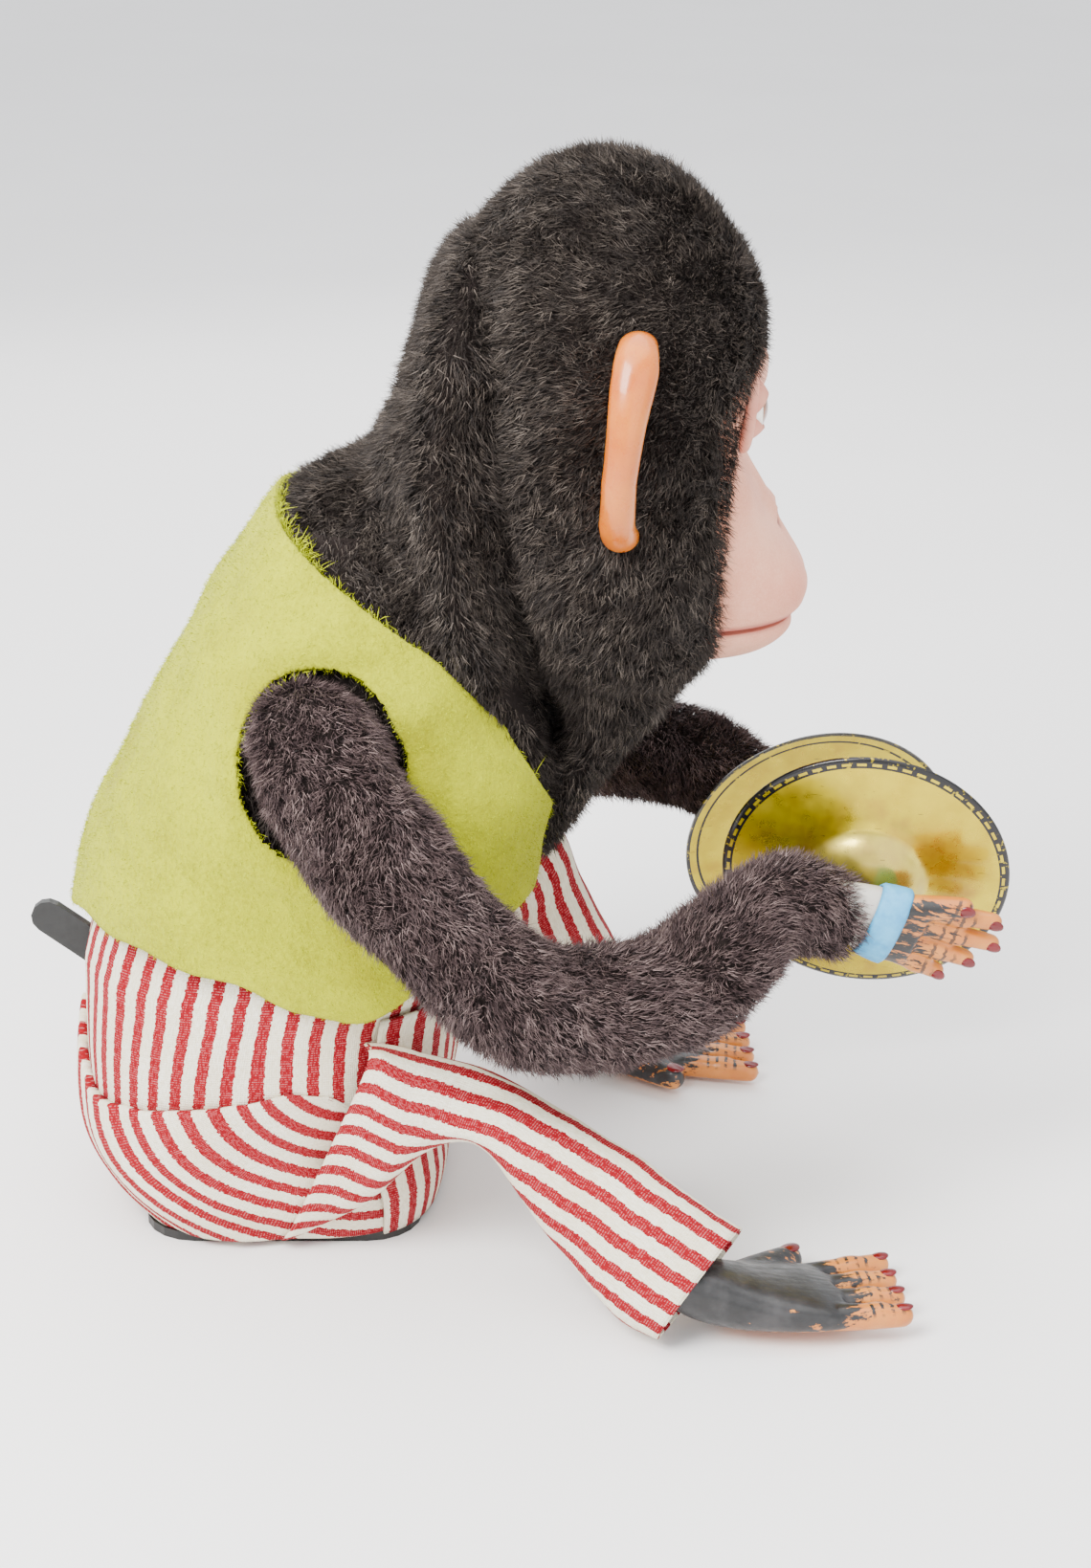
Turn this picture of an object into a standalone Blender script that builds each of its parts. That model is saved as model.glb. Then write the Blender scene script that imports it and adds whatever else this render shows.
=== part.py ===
"""Cymbal-playing toy monkey: a seated plush figure over a battery-driven clockwork frame.

Units are metres, +Z is up, the figure faces -Y and its right side is -X.
The origin is the centre of the flat underside of the base.
Lengths in the constants and calls below are millimetres; MM turns them into metres.
"""
import math

import bmesh
import bpy
from mathutils import Matrix, Vector

MM = 0.001

# ---------------------------------------------------------------- driving dimensions (mm)
GAP = 0.3                       # space kept between pieces that touch
ROUND = 20                      # sides of the large lofted shells
LIMB_ROUND = 12                 # sides of the sleeves and trouser legs

CELL_RADIUS = 12.9              # one C-size cell
CELL_LENGTH = 49.0
BASE_HALF = (38.0, 34.0)        # base plate, half width and half depth
BASE_CORNER = 13.0
BASE_THICK = 2.4
BOX_HALF = (29.5, 28.5)         # battery box, outside
BOX_TOP = 32.0
BOX_WALL = 1.2
BOX_CORNER = 3.0

FRAME_X = 29.0                  # outer face of each side plate of the motor frame
FRAME_DEPTH = 24.0
FRAME_TOP = 98.0
PLATE = 1.2
AXLE_RADIUS = 1.5
GEAR_MODULE = 0.8
PINION_TEETH = 10
WHEEL_TEETH = 30
CAM_TEETH = 36
MOTOR_AXIS = (14.0, 60.0)       # y, z
IDLER_DIRECTION = math.radians(143.0)
CAM_DIRECTION = math.radians(134.0)
CAM_RADIUS = 8.0
CAM_OFFSET = 3.0

SHOULDER = (30.0, -4.0)         # |x|, y of the upright arm pivots
ARM_LEVER = 13.0
LEVER_Z = 104.0
ARM_EXIT_Z = 134.0
PIVOT_RADIUS = 2.2

CYMBAL_RADIUS = 34.0
CYMBAL_SHEET = 0.6
BOSS_RADIUS = 14.0
BOSS_HEIGHT = 6.0
CYMBAL_TILT = math.radians(16.0)
CYMBAL_YAW = math.radians(8.0)

PALM_HEIGHT = 15.4              # palm's middle above the cymbal's rim plane
HAND_DROOP = math.radians(18.0)
FINGER_RADIUS = 2.6
PALM = ((-14, 5.0, 4.4), (-8, 7.0, 5.0), (0, 9.0, 5.0), (8, 10.2, 4.8), (14, 9.6, 3.8))
FINGERS = ((7.2, 29.0, 2.4), (2.6, 31.0, 0.8), (-2.4, 27.5, -1.0), (-7.0, 22.5, -2.8))

NOD_PIVOT = (-35.0, 150.0)      # y, z
POST_Y = -70.0
JAW_PIVOT = (-92.0, 153.0)
SWITCH_PIVOT = (28.0, 47.0)
DOOR_HINGE = (26.4, 0.7)

# Horizontal sections of the clothed body: height, back y, front y, half width.
BODY = (
    (3.0, 35, -38, 41), (12, 41, -39, 43), (24, 47, -38, 44), (40, 49, -41, 46), (58, 49, -45, 47),
    (74, 48, -52, 47), (88, 45.5, -60, 48), (104, 40, -66, 48), (122, 31, -66, 48), (140, 21, -61, 46),
    (158, 11, -55, 40), (172, 1, -50, 33), (186, -8, -44, 26),
)
# Horizontal sections of the plush head: height, back y, front y, half width.
HEAD = (
    (139, -66, -103, 32), (146, -60, -107, 38), (160, -51, -112, 44), (178, -44, -113, 46.5),
    (196, -40, -115, 46.5), (212, -38.5, -117, 45), (226, -41, -115, 41.5), (240, -47, -108, 35),
    (250, -55, -99, 25), (256, -64, -92, 15),
)
# Horizontal sections of the face mask and jaw: height, front y, half width.
MASK = (
    (151.6, -124.5, 24.5), (160, -125.5, 27), (168, -121.5, 29), (179, -115, 30),
    (190, -110.5, 31), (199, -114, 32), (207, -117, 30), (214, -115, 23),
)
JAW = ((139.8, -112, 10), (142.5, -119, 16.5), (147, -123, 21), (151.0, -124, 23))
FACE_CENTRE = -98.0

# Centre lines of the limbs: x, y, z, radius. The toy's own right side first.
SLEEVE_RIGHT = (
    (-57.5, -13, 136, 10.5), (-63.5, -22, 122, 13.6), (-68, -35, 106, 14.6), (-67, -48, 89, 14.2),
    (-66, -61, 79, 15), (-63, -76, 75, 14), (-58, -93, 76, 13.5), (-51, -105, 85, 13),
    (-42, -115, 92, 12), (-37, -125.5, 91.3, 11.5),
)
SLEEVE_LEFT = (
    (57.5, -13, 136, 10.5), (63.5, -21, 124, 13.6), (68, -33, 111, 14.6), (66, -47, 101.5, 14.2),
    (62, -61, 96.5, 14), (57, -75, 95, 14), (52, -89, 94, 13.5), (45, -100, 95, 13),
    (38, -109, 93.5, 12), (33.7, -119, 88.8, 11.5),
)
LEG_RIGHT = (
    (-35, -33, 38, 11), (-43, -42, 39, 13.5), (-52, -53, 38, 13.8), (-60, -66, 32, 12.5),
    (-68, -81, 23.5, 12.5), (-76.5, -97, 15.5, 13.5),
)
LEG_LEFT = (
    (34, -34, 42, 11), (39, -42, 50, 13.5), (44, -52, 57.5, 13.8), (48.5, -61.5, 51, 12.5),
    (53.5, -67.5, 35, 12.5), (58.5, -73.5, 16.5, 13.5),
)
FOOT_RIGHT = ((-80, -101, 1.7), 5.0, 14.0)        # heel place, roll and yaw in degrees
FOOT_LEFT = ((60, -73, 0.3), 0.0, -4.0)
# Sections of a foot from heel to toes: distance, half width, underside, top.
FOOT = (
    (8, 5.5, 8, 18), (2, 8.0, 4, 17), (-8, 11.5, 0.6, 14), (-18, 14.0, 0, 11), (-28, 15.0, 0, 8.5),
    (-33, 14, 0, 7),
)
TOE_RADIUS = 3.3
TOE_PITCH = 7.0
TOE_ROOT = -30.0
TOE_TIP = -44.0
TOE_STAGGER = 1.2
BIG_TOE = ((12.0, -14.0, 5.5), (19.5, -26.0, 4.6), 3.8)     # root, tip, radius
EYE_X = 13.5
EYE_Y = -107.5
EYE_Z = 202.5
EYE_RADIUS = 7.4
EYE_GAP = 0.8
LEVER_TIP = (61.5, 72.5)
LEVER_HALF = 4.2
LEVER_THICK = 2.4
# Tilted sections of the neck plush: y, z, half width, half depth, tilt in degrees.
NECK = ((-30, 162.2, 35, 31, 41.3), (-40, 168.5, 34, 30, 48), (-51, 174.5, 34.5, 33, 55))
CYMBAL_RIGHT = (-22.0, -140.5, 91.0)
CYMBAL_LEFT = (22.0, -133.5, 81.0)


# ---------------------------------------------------------------- small helpers
def vec(point):
    return Vector(point) * MM


def material(name, colour, roughness, metallic):
    """One Principled material; colour is linear RGB."""
    made = bpy.data.materials.new(name + "_finish")
    made.use_nodes = True
    shader = made.node_tree.nodes["Principled BSDF"]
    shader.inputs["Base Color"].default_value = (*colour, 1.0)
    shader.inputs["Roughness"].default_value = roughness
    shader.inputs["Metallic"].default_value = metallic
    return made


FINISHES = {
    "fur_head": ((0.045, 0.037, 0.032), 0.95, 0.0),
    "fur_arm": ((0.11, 0.08, 0.075), 0.95, 0.0),
    "felt": ((0.55, 0.60, 0.03), 0.95, 0.0),
    "stripe": ((0.60, 0.16, 0.20), 0.9, 0.0),
    "face": ((0.80, 0.58, 0.50), 0.8, 0.0),
    "vinyl": ((0.75, 0.35, 0.14), 0.35, 0.0),
    "strap": ((0.16, 0.50, 0.75), 0.6, 0.0),
    "brass": ((0.62, 0.50, 0.08), 0.3, 0.9),
    "steel": ((0.55, 0.56, 0.58), 0.35, 1.0),
    "tin": ((0.42, 0.43, 0.44), 0.4, 1.0),
    "black": ((0.03, 0.032, 0.035), 0.45, 0.0),
    "nylon": ((0.80, 0.78, 0.70), 0.5, 0.0),
    "cell": ((0.05, 0.10, 0.30), 0.4, 0.3),
    "white": ((0.85, 0.83, 0.76), 0.2, 0.0),
    "plastic": ((0.30, 0.19, 0.12), 0.5, 0.0),
}


def add_object(name, mesh_data, finish, smooth=None):
    """Turn a bmesh into a named object with its own material, its faces pointing out."""
    bmesh.ops.remove_doubles(mesh_data, verts=mesh_data.verts, dist=1e-6)
    bmesh.ops.recalc_face_normals(mesh_data, faces=mesh_data.faces)
    mesh = bpy.data.meshes.new(name)
    mesh_data.to_mesh(mesh)
    mesh_data.free()
    made = bpy.data.objects.new(name, mesh)
    bpy.context.scene.collection.objects.link(made)
    mesh.materials.append(material(name, *FINISHES[finish]))
    if smooth:
        mesh.shade_smooth()
        mesh.set_sharp_from_angle(angle=math.radians(smooth))
    return made


def superellipse(centre, half_x, half_y, sides=ROUND, power=2.0):
    """Points of a level rounded section about centre."""
    points = []
    for step in range(sides):
        angle = 2 * math.pi * step / sides
        across, along = math.cos(angle), math.sin(angle)
        across = math.copysign(abs(across) ** (2 / power), across)
        along = math.copysign(abs(along) ** (2 / power), along)
        points.append(vec((centre[0] + half_x * across, centre[1] + half_y * along, centre[2])))
    return points


def catmull(values, position):
    """Smooth interpolation through a list of equal-length tuples at a real-valued position."""
    last = len(values) - 1
    index = min(int(position), last - 1)
    t = position - index
    before, here = values[max(index - 1, 0)], values[index]
    after, beyond = values[index + 1], values[min(index + 2, last)]
    return tuple(
        0.5 * (2 * b + (c - a) * t + (2 * a - 5 * b + 4 * c - d) * t * t + (3 * b - a - 3 * c + d) * t ** 3)
        for a, b, c, d in zip(before, here, after, beyond))


def section_at(table, height):
    """Section values of a table at any height within it, by straight interpolation."""
    for low, high in zip(table, table[1:]):
        if height <= high[0]:
            part = (height - low[0]) / (high[0] - low[0])
            return tuple(a + (b - a) * part for a, b in zip(low, high))
    return table[-1]


def body_ring(table, height, inset, power=None, sides=ROUND):
    """One level ring of a body table, moved in by inset; squarer towards the base."""
    _, back, front, half = section_at(table, height)
    if power is None:
        power = 2.4 + 0.7 * min(max((60 - height) / 48, 0), 1)
    centre = (0, (back + front) / 2, height)
    return superellipse(centre, half - inset, (back - front) / 2 - inset, sides, power)


def frames_along(points):
    """A direction and two side vectors at each point of a path, carried along without twist."""
    frames = []
    side = None
    for index, point in enumerate(points):
        ahead = points[min(index + 1, len(points) - 1)]
        behind = points[max(index - 1, 0)]
        direction = (ahead - behind).normalized()
        if side is None:
            side = direction.cross(Vector((0, 0, 1)))
            if side.length < 0.1:
                side = direction.cross(Vector((1, 0, 0)))
        side = (side - direction * side.dot(direction)).normalized()
        frames.append((point, direction, side, direction.cross(side)))
    return frames


def limb_rings(spine, inset=0.0, sides=LIMB_ROUND, steps=2):
    """Rings around a limb's centre line."""
    count = (len(spine) - 1) * steps
    stations = [catmull(spine, step / steps) for step in range(count + 1)]
    points = [vec(station[:3]) for station in stations]
    rings = []
    for station, (point, _, side, up) in zip(stations, frames_along(points)):
        radius = (station[3] - inset) * MM
        ring = []
        for step in range(sides):
            angle = 2 * math.pi * step / sides
            ring.append(point + side * math.cos(angle) * radius + up * math.sin(angle) * radius)
        rings.append(ring)
    return rings


def bridge(mesh_data, first, second):
    for index in range(len(first)):
        following = (index + 1) % len(first)
        mesh_data.faces.new((first[index], first[following], second[following], second[index]))


def fan(mesh_data, ring, tip):
    centre = mesh_data.verts.new(tip)
    for index in range(len(ring)):
        mesh_data.faces.new((ring[index], ring[(index + 1) % len(ring)], centre))


def middle(ring):
    return sum(ring, Vector()) / len(ring)


def solid(name, rings, finish, bulge=0.0, smooth=40):
    """Closed loft through rings; bulge (mm) pushes the two end tips outwards."""
    mesh_data = bmesh.new()
    loops = [[mesh_data.verts.new(point) for point in ring] for ring in rings]
    for first, second in zip(loops, loops[1:]):
        bridge(mesh_data, first, second)
    for ring, neighbour, loop in ((rings[0], rings[1], loops[0]), (rings[-1], rings[-2], loops[-1])):
        outwards = (middle(ring) - middle(neighbour)).normalized()
        fan(mesh_data, loop, middle(ring) + outwards * bulge * MM)
    return add_object(name, mesh_data, finish, smooth)


def shell(name, outer, inner, finish, domed_top=False, smooth=40, rise=(0.0, 0.0)):
    """Wall between two stacks of rings: open at both ends, or closed over its last ring by a dome."""
    mesh_data = bmesh.new()
    stacks = []
    for rings in (outer, inner):
        loops = [[mesh_data.verts.new(point) for point in ring] for ring in rings]
        for first, second in zip(loops, loops[1:]):
            bridge(mesh_data, first, second)
        stacks.append(loops)
    bridge(mesh_data, stacks[0][0], stacks[1][0])
    if domed_top:
        for rings, loops, height in zip((outer, inner), stacks, rise):
            fan(mesh_data, loops[-1], middle(rings[-1]) + Vector((0, 0, height * MM)))
    else:
        bridge(mesh_data, stacks[0][-1], stacks[1][-1])
    return add_object(name, mesh_data, finish, smooth)


def box(name, low, high, finish, bevel=0.0):
    """Box between two corners, with an optional edge bevel."""
    mesh_data = bmesh.new()
    bmesh.ops.create_cube(mesh_data, size=1.0)
    size = Vector(high) - Vector(low)
    centre = (Vector(high) + Vector(low)) / 2
    place = Matrix.Translation(centre * MM) @ Matrix.Diagonal((*(size * MM), 1.0))
    bmesh.ops.transform(mesh_data, matrix=place, verts=mesh_data.verts)
    if bevel:
        bmesh.ops.bevel(mesh_data, geom=mesh_data.edges[:], offset=bevel * MM, segments=2, affect="EDGES",
                        profile=0.5, clamp_overlap=True)
    return add_object(name, mesh_data, finish, 35 if bevel else None)


def rod(name, start, end, radius, finish, sides=16):
    """Round bar between two points."""
    start, end = vec(start), vec(end)
    along = end - start
    mesh_data = bmesh.new()
    bmesh.ops.create_cone(mesh_data, cap_ends=True, segments=sides, radius1=radius * MM,
                          radius2=radius * MM, depth=along.length)
    turn = Vector((0, 0, 1)).rotation_difference(along.normalized()).to_matrix().to_4x4()
    place = Matrix.Translation((start + end) / 2) @ turn
    bmesh.ops.transform(mesh_data, matrix=place, verts=mesh_data.verts)
    return add_object(name, mesh_data, finish, 35)


def ball(name, centre, radii, finish, rings=12, sides=16):
    """Ellipsoid."""
    mesh_data = bmesh.new()
    bmesh.ops.create_uvsphere(mesh_data, u_segments=sides, v_segments=rings, radius=MM)
    place = Matrix.Translation(vec(centre)) @ Matrix.Diagonal((*radii, 1.0))
    bmesh.ops.transform(mesh_data, matrix=place, verts=mesh_data.verts)
    return add_object(name, mesh_data, finish, 60)


def wire(name, points, radius, finish, steps=3, sides=8):
    """Bent round wire through a few points."""
    spine = [(*point, radius) for point in points]
    return solid(name, limb_rings(spine, sides=sides, steps=steps), finish, smooth=60)


def prism(name, outline, low, high, place, finish, smooth=None):
    """Flat outline extruded from low to high along its own z, then moved by place."""
    mesh_data = bmesh.new()
    bottom = [mesh_data.verts.new((x * MM, y * MM, low * MM)) for x, y in outline]
    top = [mesh_data.verts.new((x * MM, y * MM, high * MM)) for x, y in outline]
    mesh_data.faces.new(bottom[::-1])
    mesh_data.faces.new(top)
    bridge(mesh_data, bottom, top)
    bmesh.ops.transform(mesh_data, matrix=place, verts=mesh_data.verts)
    return add_object(name, mesh_data, finish, smooth)


def turned(name, profile, place, finish, sides=28, smooth=40):
    """Closed profile of (radius, height) points turned about its own z axis, then moved by place."""
    mesh_data = bmesh.new()
    loops = []
    for step in range(sides):
        angle = 2 * math.pi * step / sides
        loops.append([mesh_data.verts.new((r * MM * math.cos(angle), r * MM * math.sin(angle), h * MM))
                      for r, h in profile])
    for index, loop in enumerate(loops):
        bridge(mesh_data, loop, loops[(index + 1) % sides])
    bmesh.ops.transform(mesh_data, matrix=place, verts=mesh_data.verts)
    return add_object(name, mesh_data, finish, smooth)


def combine(target, tool, operation):
    """Boolean modifier with a hidden wire tool."""
    tool.hide_render = True
    tool.display_type = "WIRE"
    modifier = target.modifiers.new(operation.lower(), "BOOLEAN")
    modifier.operation = operation
    modifier.object = tool
    modifier.solver = "EXACT"
    return target


def cut(target, tool):
    return combine(target, tool, "DIFFERENCE")


def join(target, tool):
    return combine(target, tool, "UNION")


def pivot(name, position, parent=None):
    """Empty on a joint's axis; moving pieces hang from it."""
    made = bpy.data.objects.new(name, None)
    made.empty_display_size = 0.01
    bpy.context.scene.collection.objects.link(made)
    made["at"] = tuple(vec(position))
    made.location = vec(position)
    if parent:
        made.parent = parent
        made.location = vec(position) - Vector(parent["at"])
    return made


def hang(parent, *pieces):
    """Move each piece's origin, and its cutters', to the pivot and parent it there."""
    for piece in pieces:
        tools = [modifier.object for modifier in piece.modifiers if modifier.type == "BOOLEAN"]
        for item in (piece, *tools):
            if item.parent is None:
                item.data.transform(Matrix.Translation(-Vector(parent["at"])))
                item.parent = parent


def rounded_rectangle(half_x, half_y, radius, steps=5):
    outline = []
    for corner in range(4):
        sign_x = 1 if corner in (0, 3) else -1
        sign_y = 1 if corner in (0, 1) else -1
        for step in range(steps + 1):
            angle = math.pi / 2 * (corner + step / steps)
            outline.append((sign_x * (half_x - radius) + radius * math.cos(angle),
                            sign_y * (half_y - radius) + radius * math.sin(angle)))
    return outline


def flat_place(position=(0, 0, 0)):
    return Matrix.Translation(vec(position))


def facing_x(x, y, z, turn=0.0):
    """Own z along world +X, own x along world +Y, own y along world +Z, turned about its own z."""
    axes = Matrix(((0, 0, 1), (1, 0, 0), (0, 1, 0))).to_4x4()
    return Matrix.Translation(vec((x, y, z))) @ axes @ Matrix.Rotation(turn, 4, "Z")


# ---------------------------------------------------------------- base and batteries
def build_base():
    outline = rounded_rectangle(*BASE_HALF, BASE_CORNER)
    base = prism("base_plate", outline, 0, BASE_THICK, flat_place(), "black", 35)
    bay_half = (BOX_HALF[0] - BOX_WALL, BOX_HALF[1] - BOX_WALL)
    cut(base, box("bay_cut", (-bay_half[0], -bay_half[1], -5), (bay_half[0], bay_half[1], 10), "black"))

    casing = prism("battery_box", rounded_rectangle(*BOX_HALF, BOX_CORNER), BASE_THICK + GAP, BOX_TOP,
                   flat_place(), "tin", 35)
    cut(casing, box("casing_cut", (-bay_half[0], -bay_half[1], -5),
                    (bay_half[0], bay_half[1], BOX_TOP - BOX_WALL), "tin"))

    centre_z = 3.4 + CELL_RADIUS
    for side, sign in (("right", -1), ("left", 1)):
        x = sign * (CELL_RADIUS + 0.35)
        cell = rod("battery_" + side, (x, -CELL_LENGTH / 2, centre_z), (x, CELL_LENGTH / 2 - 1.5, centre_z),
                   CELL_RADIUS, "cell", 28)
        join(cell, rod("cap_" + side, (x, 20, centre_z), (x, CELL_LENGTH / 2, centre_z), 4.5, "cell"))

    strip_y = CELL_LENGTH / 2 + GAP
    box("contact_rear", (-20, strip_y + GAP, 8), (20, strip_y + GAP + 0.8, 24), "brass")
    box("contact_front", (-20, -strip_y - 0.8 - GAP, 8), (20, -strip_y - GAP, 24), "brass")

    door = box("battery_door", (-bay_half[0] + 0.4, -bay_half[1] + 0.4, 0),
               (bay_half[0] - 0.4, DOOR_HINGE[0] + 0.1, 1.4), "black")
    hinge = pivot("joint_battery_door", (0, *DOOR_HINGE))
    hang(hinge, door)


# ---------------------------------------------------------------- motor frame and gear train
def gear_outline(teeth, module, phase=0.0):
    """Straight-flanked spur gear outline with running backlash."""
    pitch = teeth * module / 2
    tip, root = pitch + 0.8 * module, pitch - 1.15 * module
    step = 2 * math.pi / teeth
    outline = []
    for tooth in range(teeth):
        middle_angle = phase + tooth * step
        for radius, part in ((root, -0.30), (tip, -0.13), (tip, 0.13), (root, 0.30)):
            angle = middle_angle + part * step
            outline.append((radius * math.cos(angle), radius * math.sin(angle)))
    return outline


def offset_point(start, direction, distance):
    return (start[0] + distance * math.cos(direction), start[1] + distance * math.sin(direction))


def mesh_phase(teeth, toward):
    """Phase that puts a tooth gap of a gear on the line pointing toward its partner's tooth."""
    return toward + math.pi / teeth


def build_drive():
    first_span = GEAR_MODULE * (PINION_TEETH + WHEEL_TEETH) / 2
    second_span = GEAR_MODULE * (PINION_TEETH + CAM_TEETH) / 2
    idler_at = offset_point(MOTOR_AXIS, IDLER_DIRECTION, first_span)
    cam_at = offset_point(idler_at, CAM_DIRECTION, second_span)

    for side, sign in (("right", -1), ("left", 1)):
        low = (min(sign * FRAME_X, sign * (FRAME_X - PLATE)), -FRAME_DEPTH, BOX_TOP + GAP)
        high = (max(sign * FRAME_X, sign * (FRAME_X - PLATE)), FRAME_DEPTH, FRAME_TOP)
        plate = box("frame_" + side, low, high, "tin")
        for label, at in (("cam", cam_at), ("idler", idler_at)):
            ends = ((sign * 40, *at), (sign * 20, *at))
            hole = rod(f"{label}_hole_{side}", *ends, AXLE_RADIUS + GAP, "tin", 12)
            cut(plate, hole)
    motor = rod("motor", (-13, *MOTOR_AXIS), (19, *MOTOR_AXIS), 11, "tin", 24)
    join(motor, rod("motor_boss", (-14.5, *MOTOR_AXIS), (-10, *MOTOR_AXIS), 3.5, "tin"))
    join(motor, rod("motor_tail", (15, *MOTOR_AXIS), (21, *MOTOR_AXIS), 3.5, "tin"))

    pinion_phase = IDLER_DIRECTION
    pinion = prism("pinion", gear_outline(PINION_TEETH, GEAR_MODULE, pinion_phase), -20, -16,
                   facing_x(0, *MOTOR_AXIS), "brass")
    join(pinion, rod("pinion_shaft", (-21.5, *MOTOR_AXIS), (-14.8, *MOTOR_AXIS), 1.0, "brass", 12))
    hang(pivot("joint_pinion", (-18, *MOTOR_AXIS)), pinion)

    toward_motor = IDLER_DIRECTION + math.pi
    wheel = gear_outline(WHEEL_TEETH, GEAR_MODULE, mesh_phase(WHEEL_TEETH, toward_motor))
    idler = prism("idler_gear", wheel, -20, -16.3, facing_x(0, *idler_at), "nylon")
    join(idler, prism("idler_pinion", gear_outline(PINION_TEETH, GEAR_MODULE, CAM_DIRECTION), -26, -19,
                      facing_x(0, *idler_at), "nylon"))
    join(idler, rod("idler_axle", (-31, *idler_at), (31, *idler_at), AXLE_RADIUS, "nylon", 16))
    hang(pivot("joint_idler", (-20, *idler_at)), idler)

    toward_idler = CAM_DIRECTION + math.pi
    cam_gear = prism("cam_gear", gear_outline(CAM_TEETH, GEAR_MODULE, mesh_phase(CAM_TEETH, toward_idler)),
                     -25.5, -21.5, facing_x(0, *cam_at), "nylon")
    cut(cam_gear, rod("cam_gear_bore", (-40, *cam_at), (0, *cam_at), AXLE_RADIUS + GAP, "nylon", 16))
    cam = rod("clap_cam", (-8, cam_at[0] - CAM_OFFSET, cam_at[1]), (-3, cam_at[0] - CAM_OFFSET, cam_at[1]),
              CAM_RADIUS, "nylon", 28)
    cut(cam, rod("cam_bore", (-40, *cam_at), (20, *cam_at), AXLE_RADIUS + GAP, "nylon", 16))
    cam_axle = rod("cam_axle", (-31, *cam_at), (31, *cam_at), AXLE_RADIUS, "steel", 16)
    hang(pivot("joint_cam", (0, *cam_at)), cam_gear, cam, cam_axle)

    rod("squawk_drum", (0, -17, BOX_TOP + 0.6), (0, -17, 52), 9, "black", 20)


# ---------------------------------------------------------------- arms
def cymbal_place(centre, side):
    """Own z is the cymbal's outward normal."""
    sign = -1 if side == "right" else 1
    level = Vector((sign * math.cos(CYMBAL_YAW), math.sin(CYMBAL_YAW), 0))
    outward = level * math.cos(CYMBAL_TILT) + Vector((0, 0, sign)) * math.sin(CYMBAL_TILT)
    forward = Vector((0, -1, 0))
    forward = (forward - outward * forward.dot(outward)).normalized()
    up = outward.cross(forward)
    axes = Matrix((forward, up, outward)).transposed().to_4x4()
    return Matrix.Translation(vec(centre)) @ axes


def cymbal_profile():
    """Half section of the pressed dish, outside first then back along the inside."""
    outside = [(CYMBAL_RADIUS, 0.0), (CYMBAL_RADIUS - 4, 0.5), (BOSS_RADIUS + 1, 2.5)]
    for step in range(3):
        angle = math.pi / 2 * step / 3
        outside.append((BOSS_RADIUS * math.cos(angle), 2.9 + (BOSS_HEIGHT - 0.4) * math.sin(angle)))
    outside.append((2.1, 2.5 + BOSS_HEIGHT))
    inside = [(radius, height - CYMBAL_SHEET) for radius, height in reversed(outside)]
    return outside + inside


def capsule(name, place, start, end, radius, finish, tip=0.8):
    """Finger or toe: tapered bar with rounded ends, given in a piece's own axes."""
    first, last = place @ vec(start), place @ vec(end)
    along = (last - first).normalized()
    side = along.orthogonal().normalized()
    up = along.cross(side)
    rings = []
    for position, size in ((-0.75, 0.62), (0.0, 1.0), (1.0, tip), (1.7, tip * 0.62)):
        if position <= 0:
            centre = first + along * position * radius * MM
        else:
            centre = last + along * (position - 1) * radius * MM
        rings.append([centre + (side * math.cos(a) + up * math.sin(a)) * radius * size * MM
                      for a in (2 * math.pi * step / 8 for step in range(8))])
    return solid(name, rings, finish, bulge=0.4 * radius, smooth=60)


def palm_size(along):
    """Half width and half thickness of the palm at a distance from the cymbal's centre line."""
    for low, high in zip(PALM, PALM[1:]):
        if along <= high[0]:
            part = (along - low[0]) / (high[0] - low[0])
            return tuple(a + (b - a) * part for a, b in zip(low[1:], high[1:]))
    return PALM[-1][1:]


def palm_ring(turn, along, grow=0.0, sides=14):
    half_wide, half_thick = palm_size(along)
    ring = []
    for step in range(sides):
        angle = 2 * math.pi * step / sides
        across = (half_wide + grow) * math.cos(angle)
        ring.append(turn @ vec((along, across, PALM_HEIGHT + (half_thick + grow) * math.sin(angle))))
    return ring


def hand_turn(place, side):
    """Own x runs from wrist to fingertips, drooping a little."""
    droop = -HAND_DROOP if side == "right" else HAND_DROOP
    return place @ Matrix.Rotation(droop, 4, "Z")


def build_hand(side, place):
    """Vinyl hand lying on the cymbal's boss: wrist plug, palm, four fingers and a thumb."""
    turn = hand_turn(place, side)
    flip = 1 if side == "right" else -1
    hand = solid("hand_" + side, [palm_ring(turn, row[0]) for row in PALM], "vinyl", bulge=1.0, smooth=50)
    for index, (offset, reach, spread) in enumerate(FINGERS):
        start = (12, offset * flip, PALM_HEIGHT)
        end = (reach, (offset + spread) * flip, PALM_HEIGHT - 1.5)
        join(hand, capsule(f"finger_{side}_{index}", turn, start, end, FINGER_RADIUS, "vinyl"))
    join(hand, capsule("thumb_" + side, turn, (11, 7.5 * flip, PALM_HEIGHT + 0.5),
                       (20.5, 12.5 * flip, PALM_HEIGHT), 2.8, "vinyl"))
    stations = (2.6, 5.2, 8.0)
    strap = shell("wrist_strap_" + side, [palm_ring(turn, along, 1.5) for along in stations],
                  [palm_ring(turn, along, 0.5) for along in stations], "strap")
    return hand, strap


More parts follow.
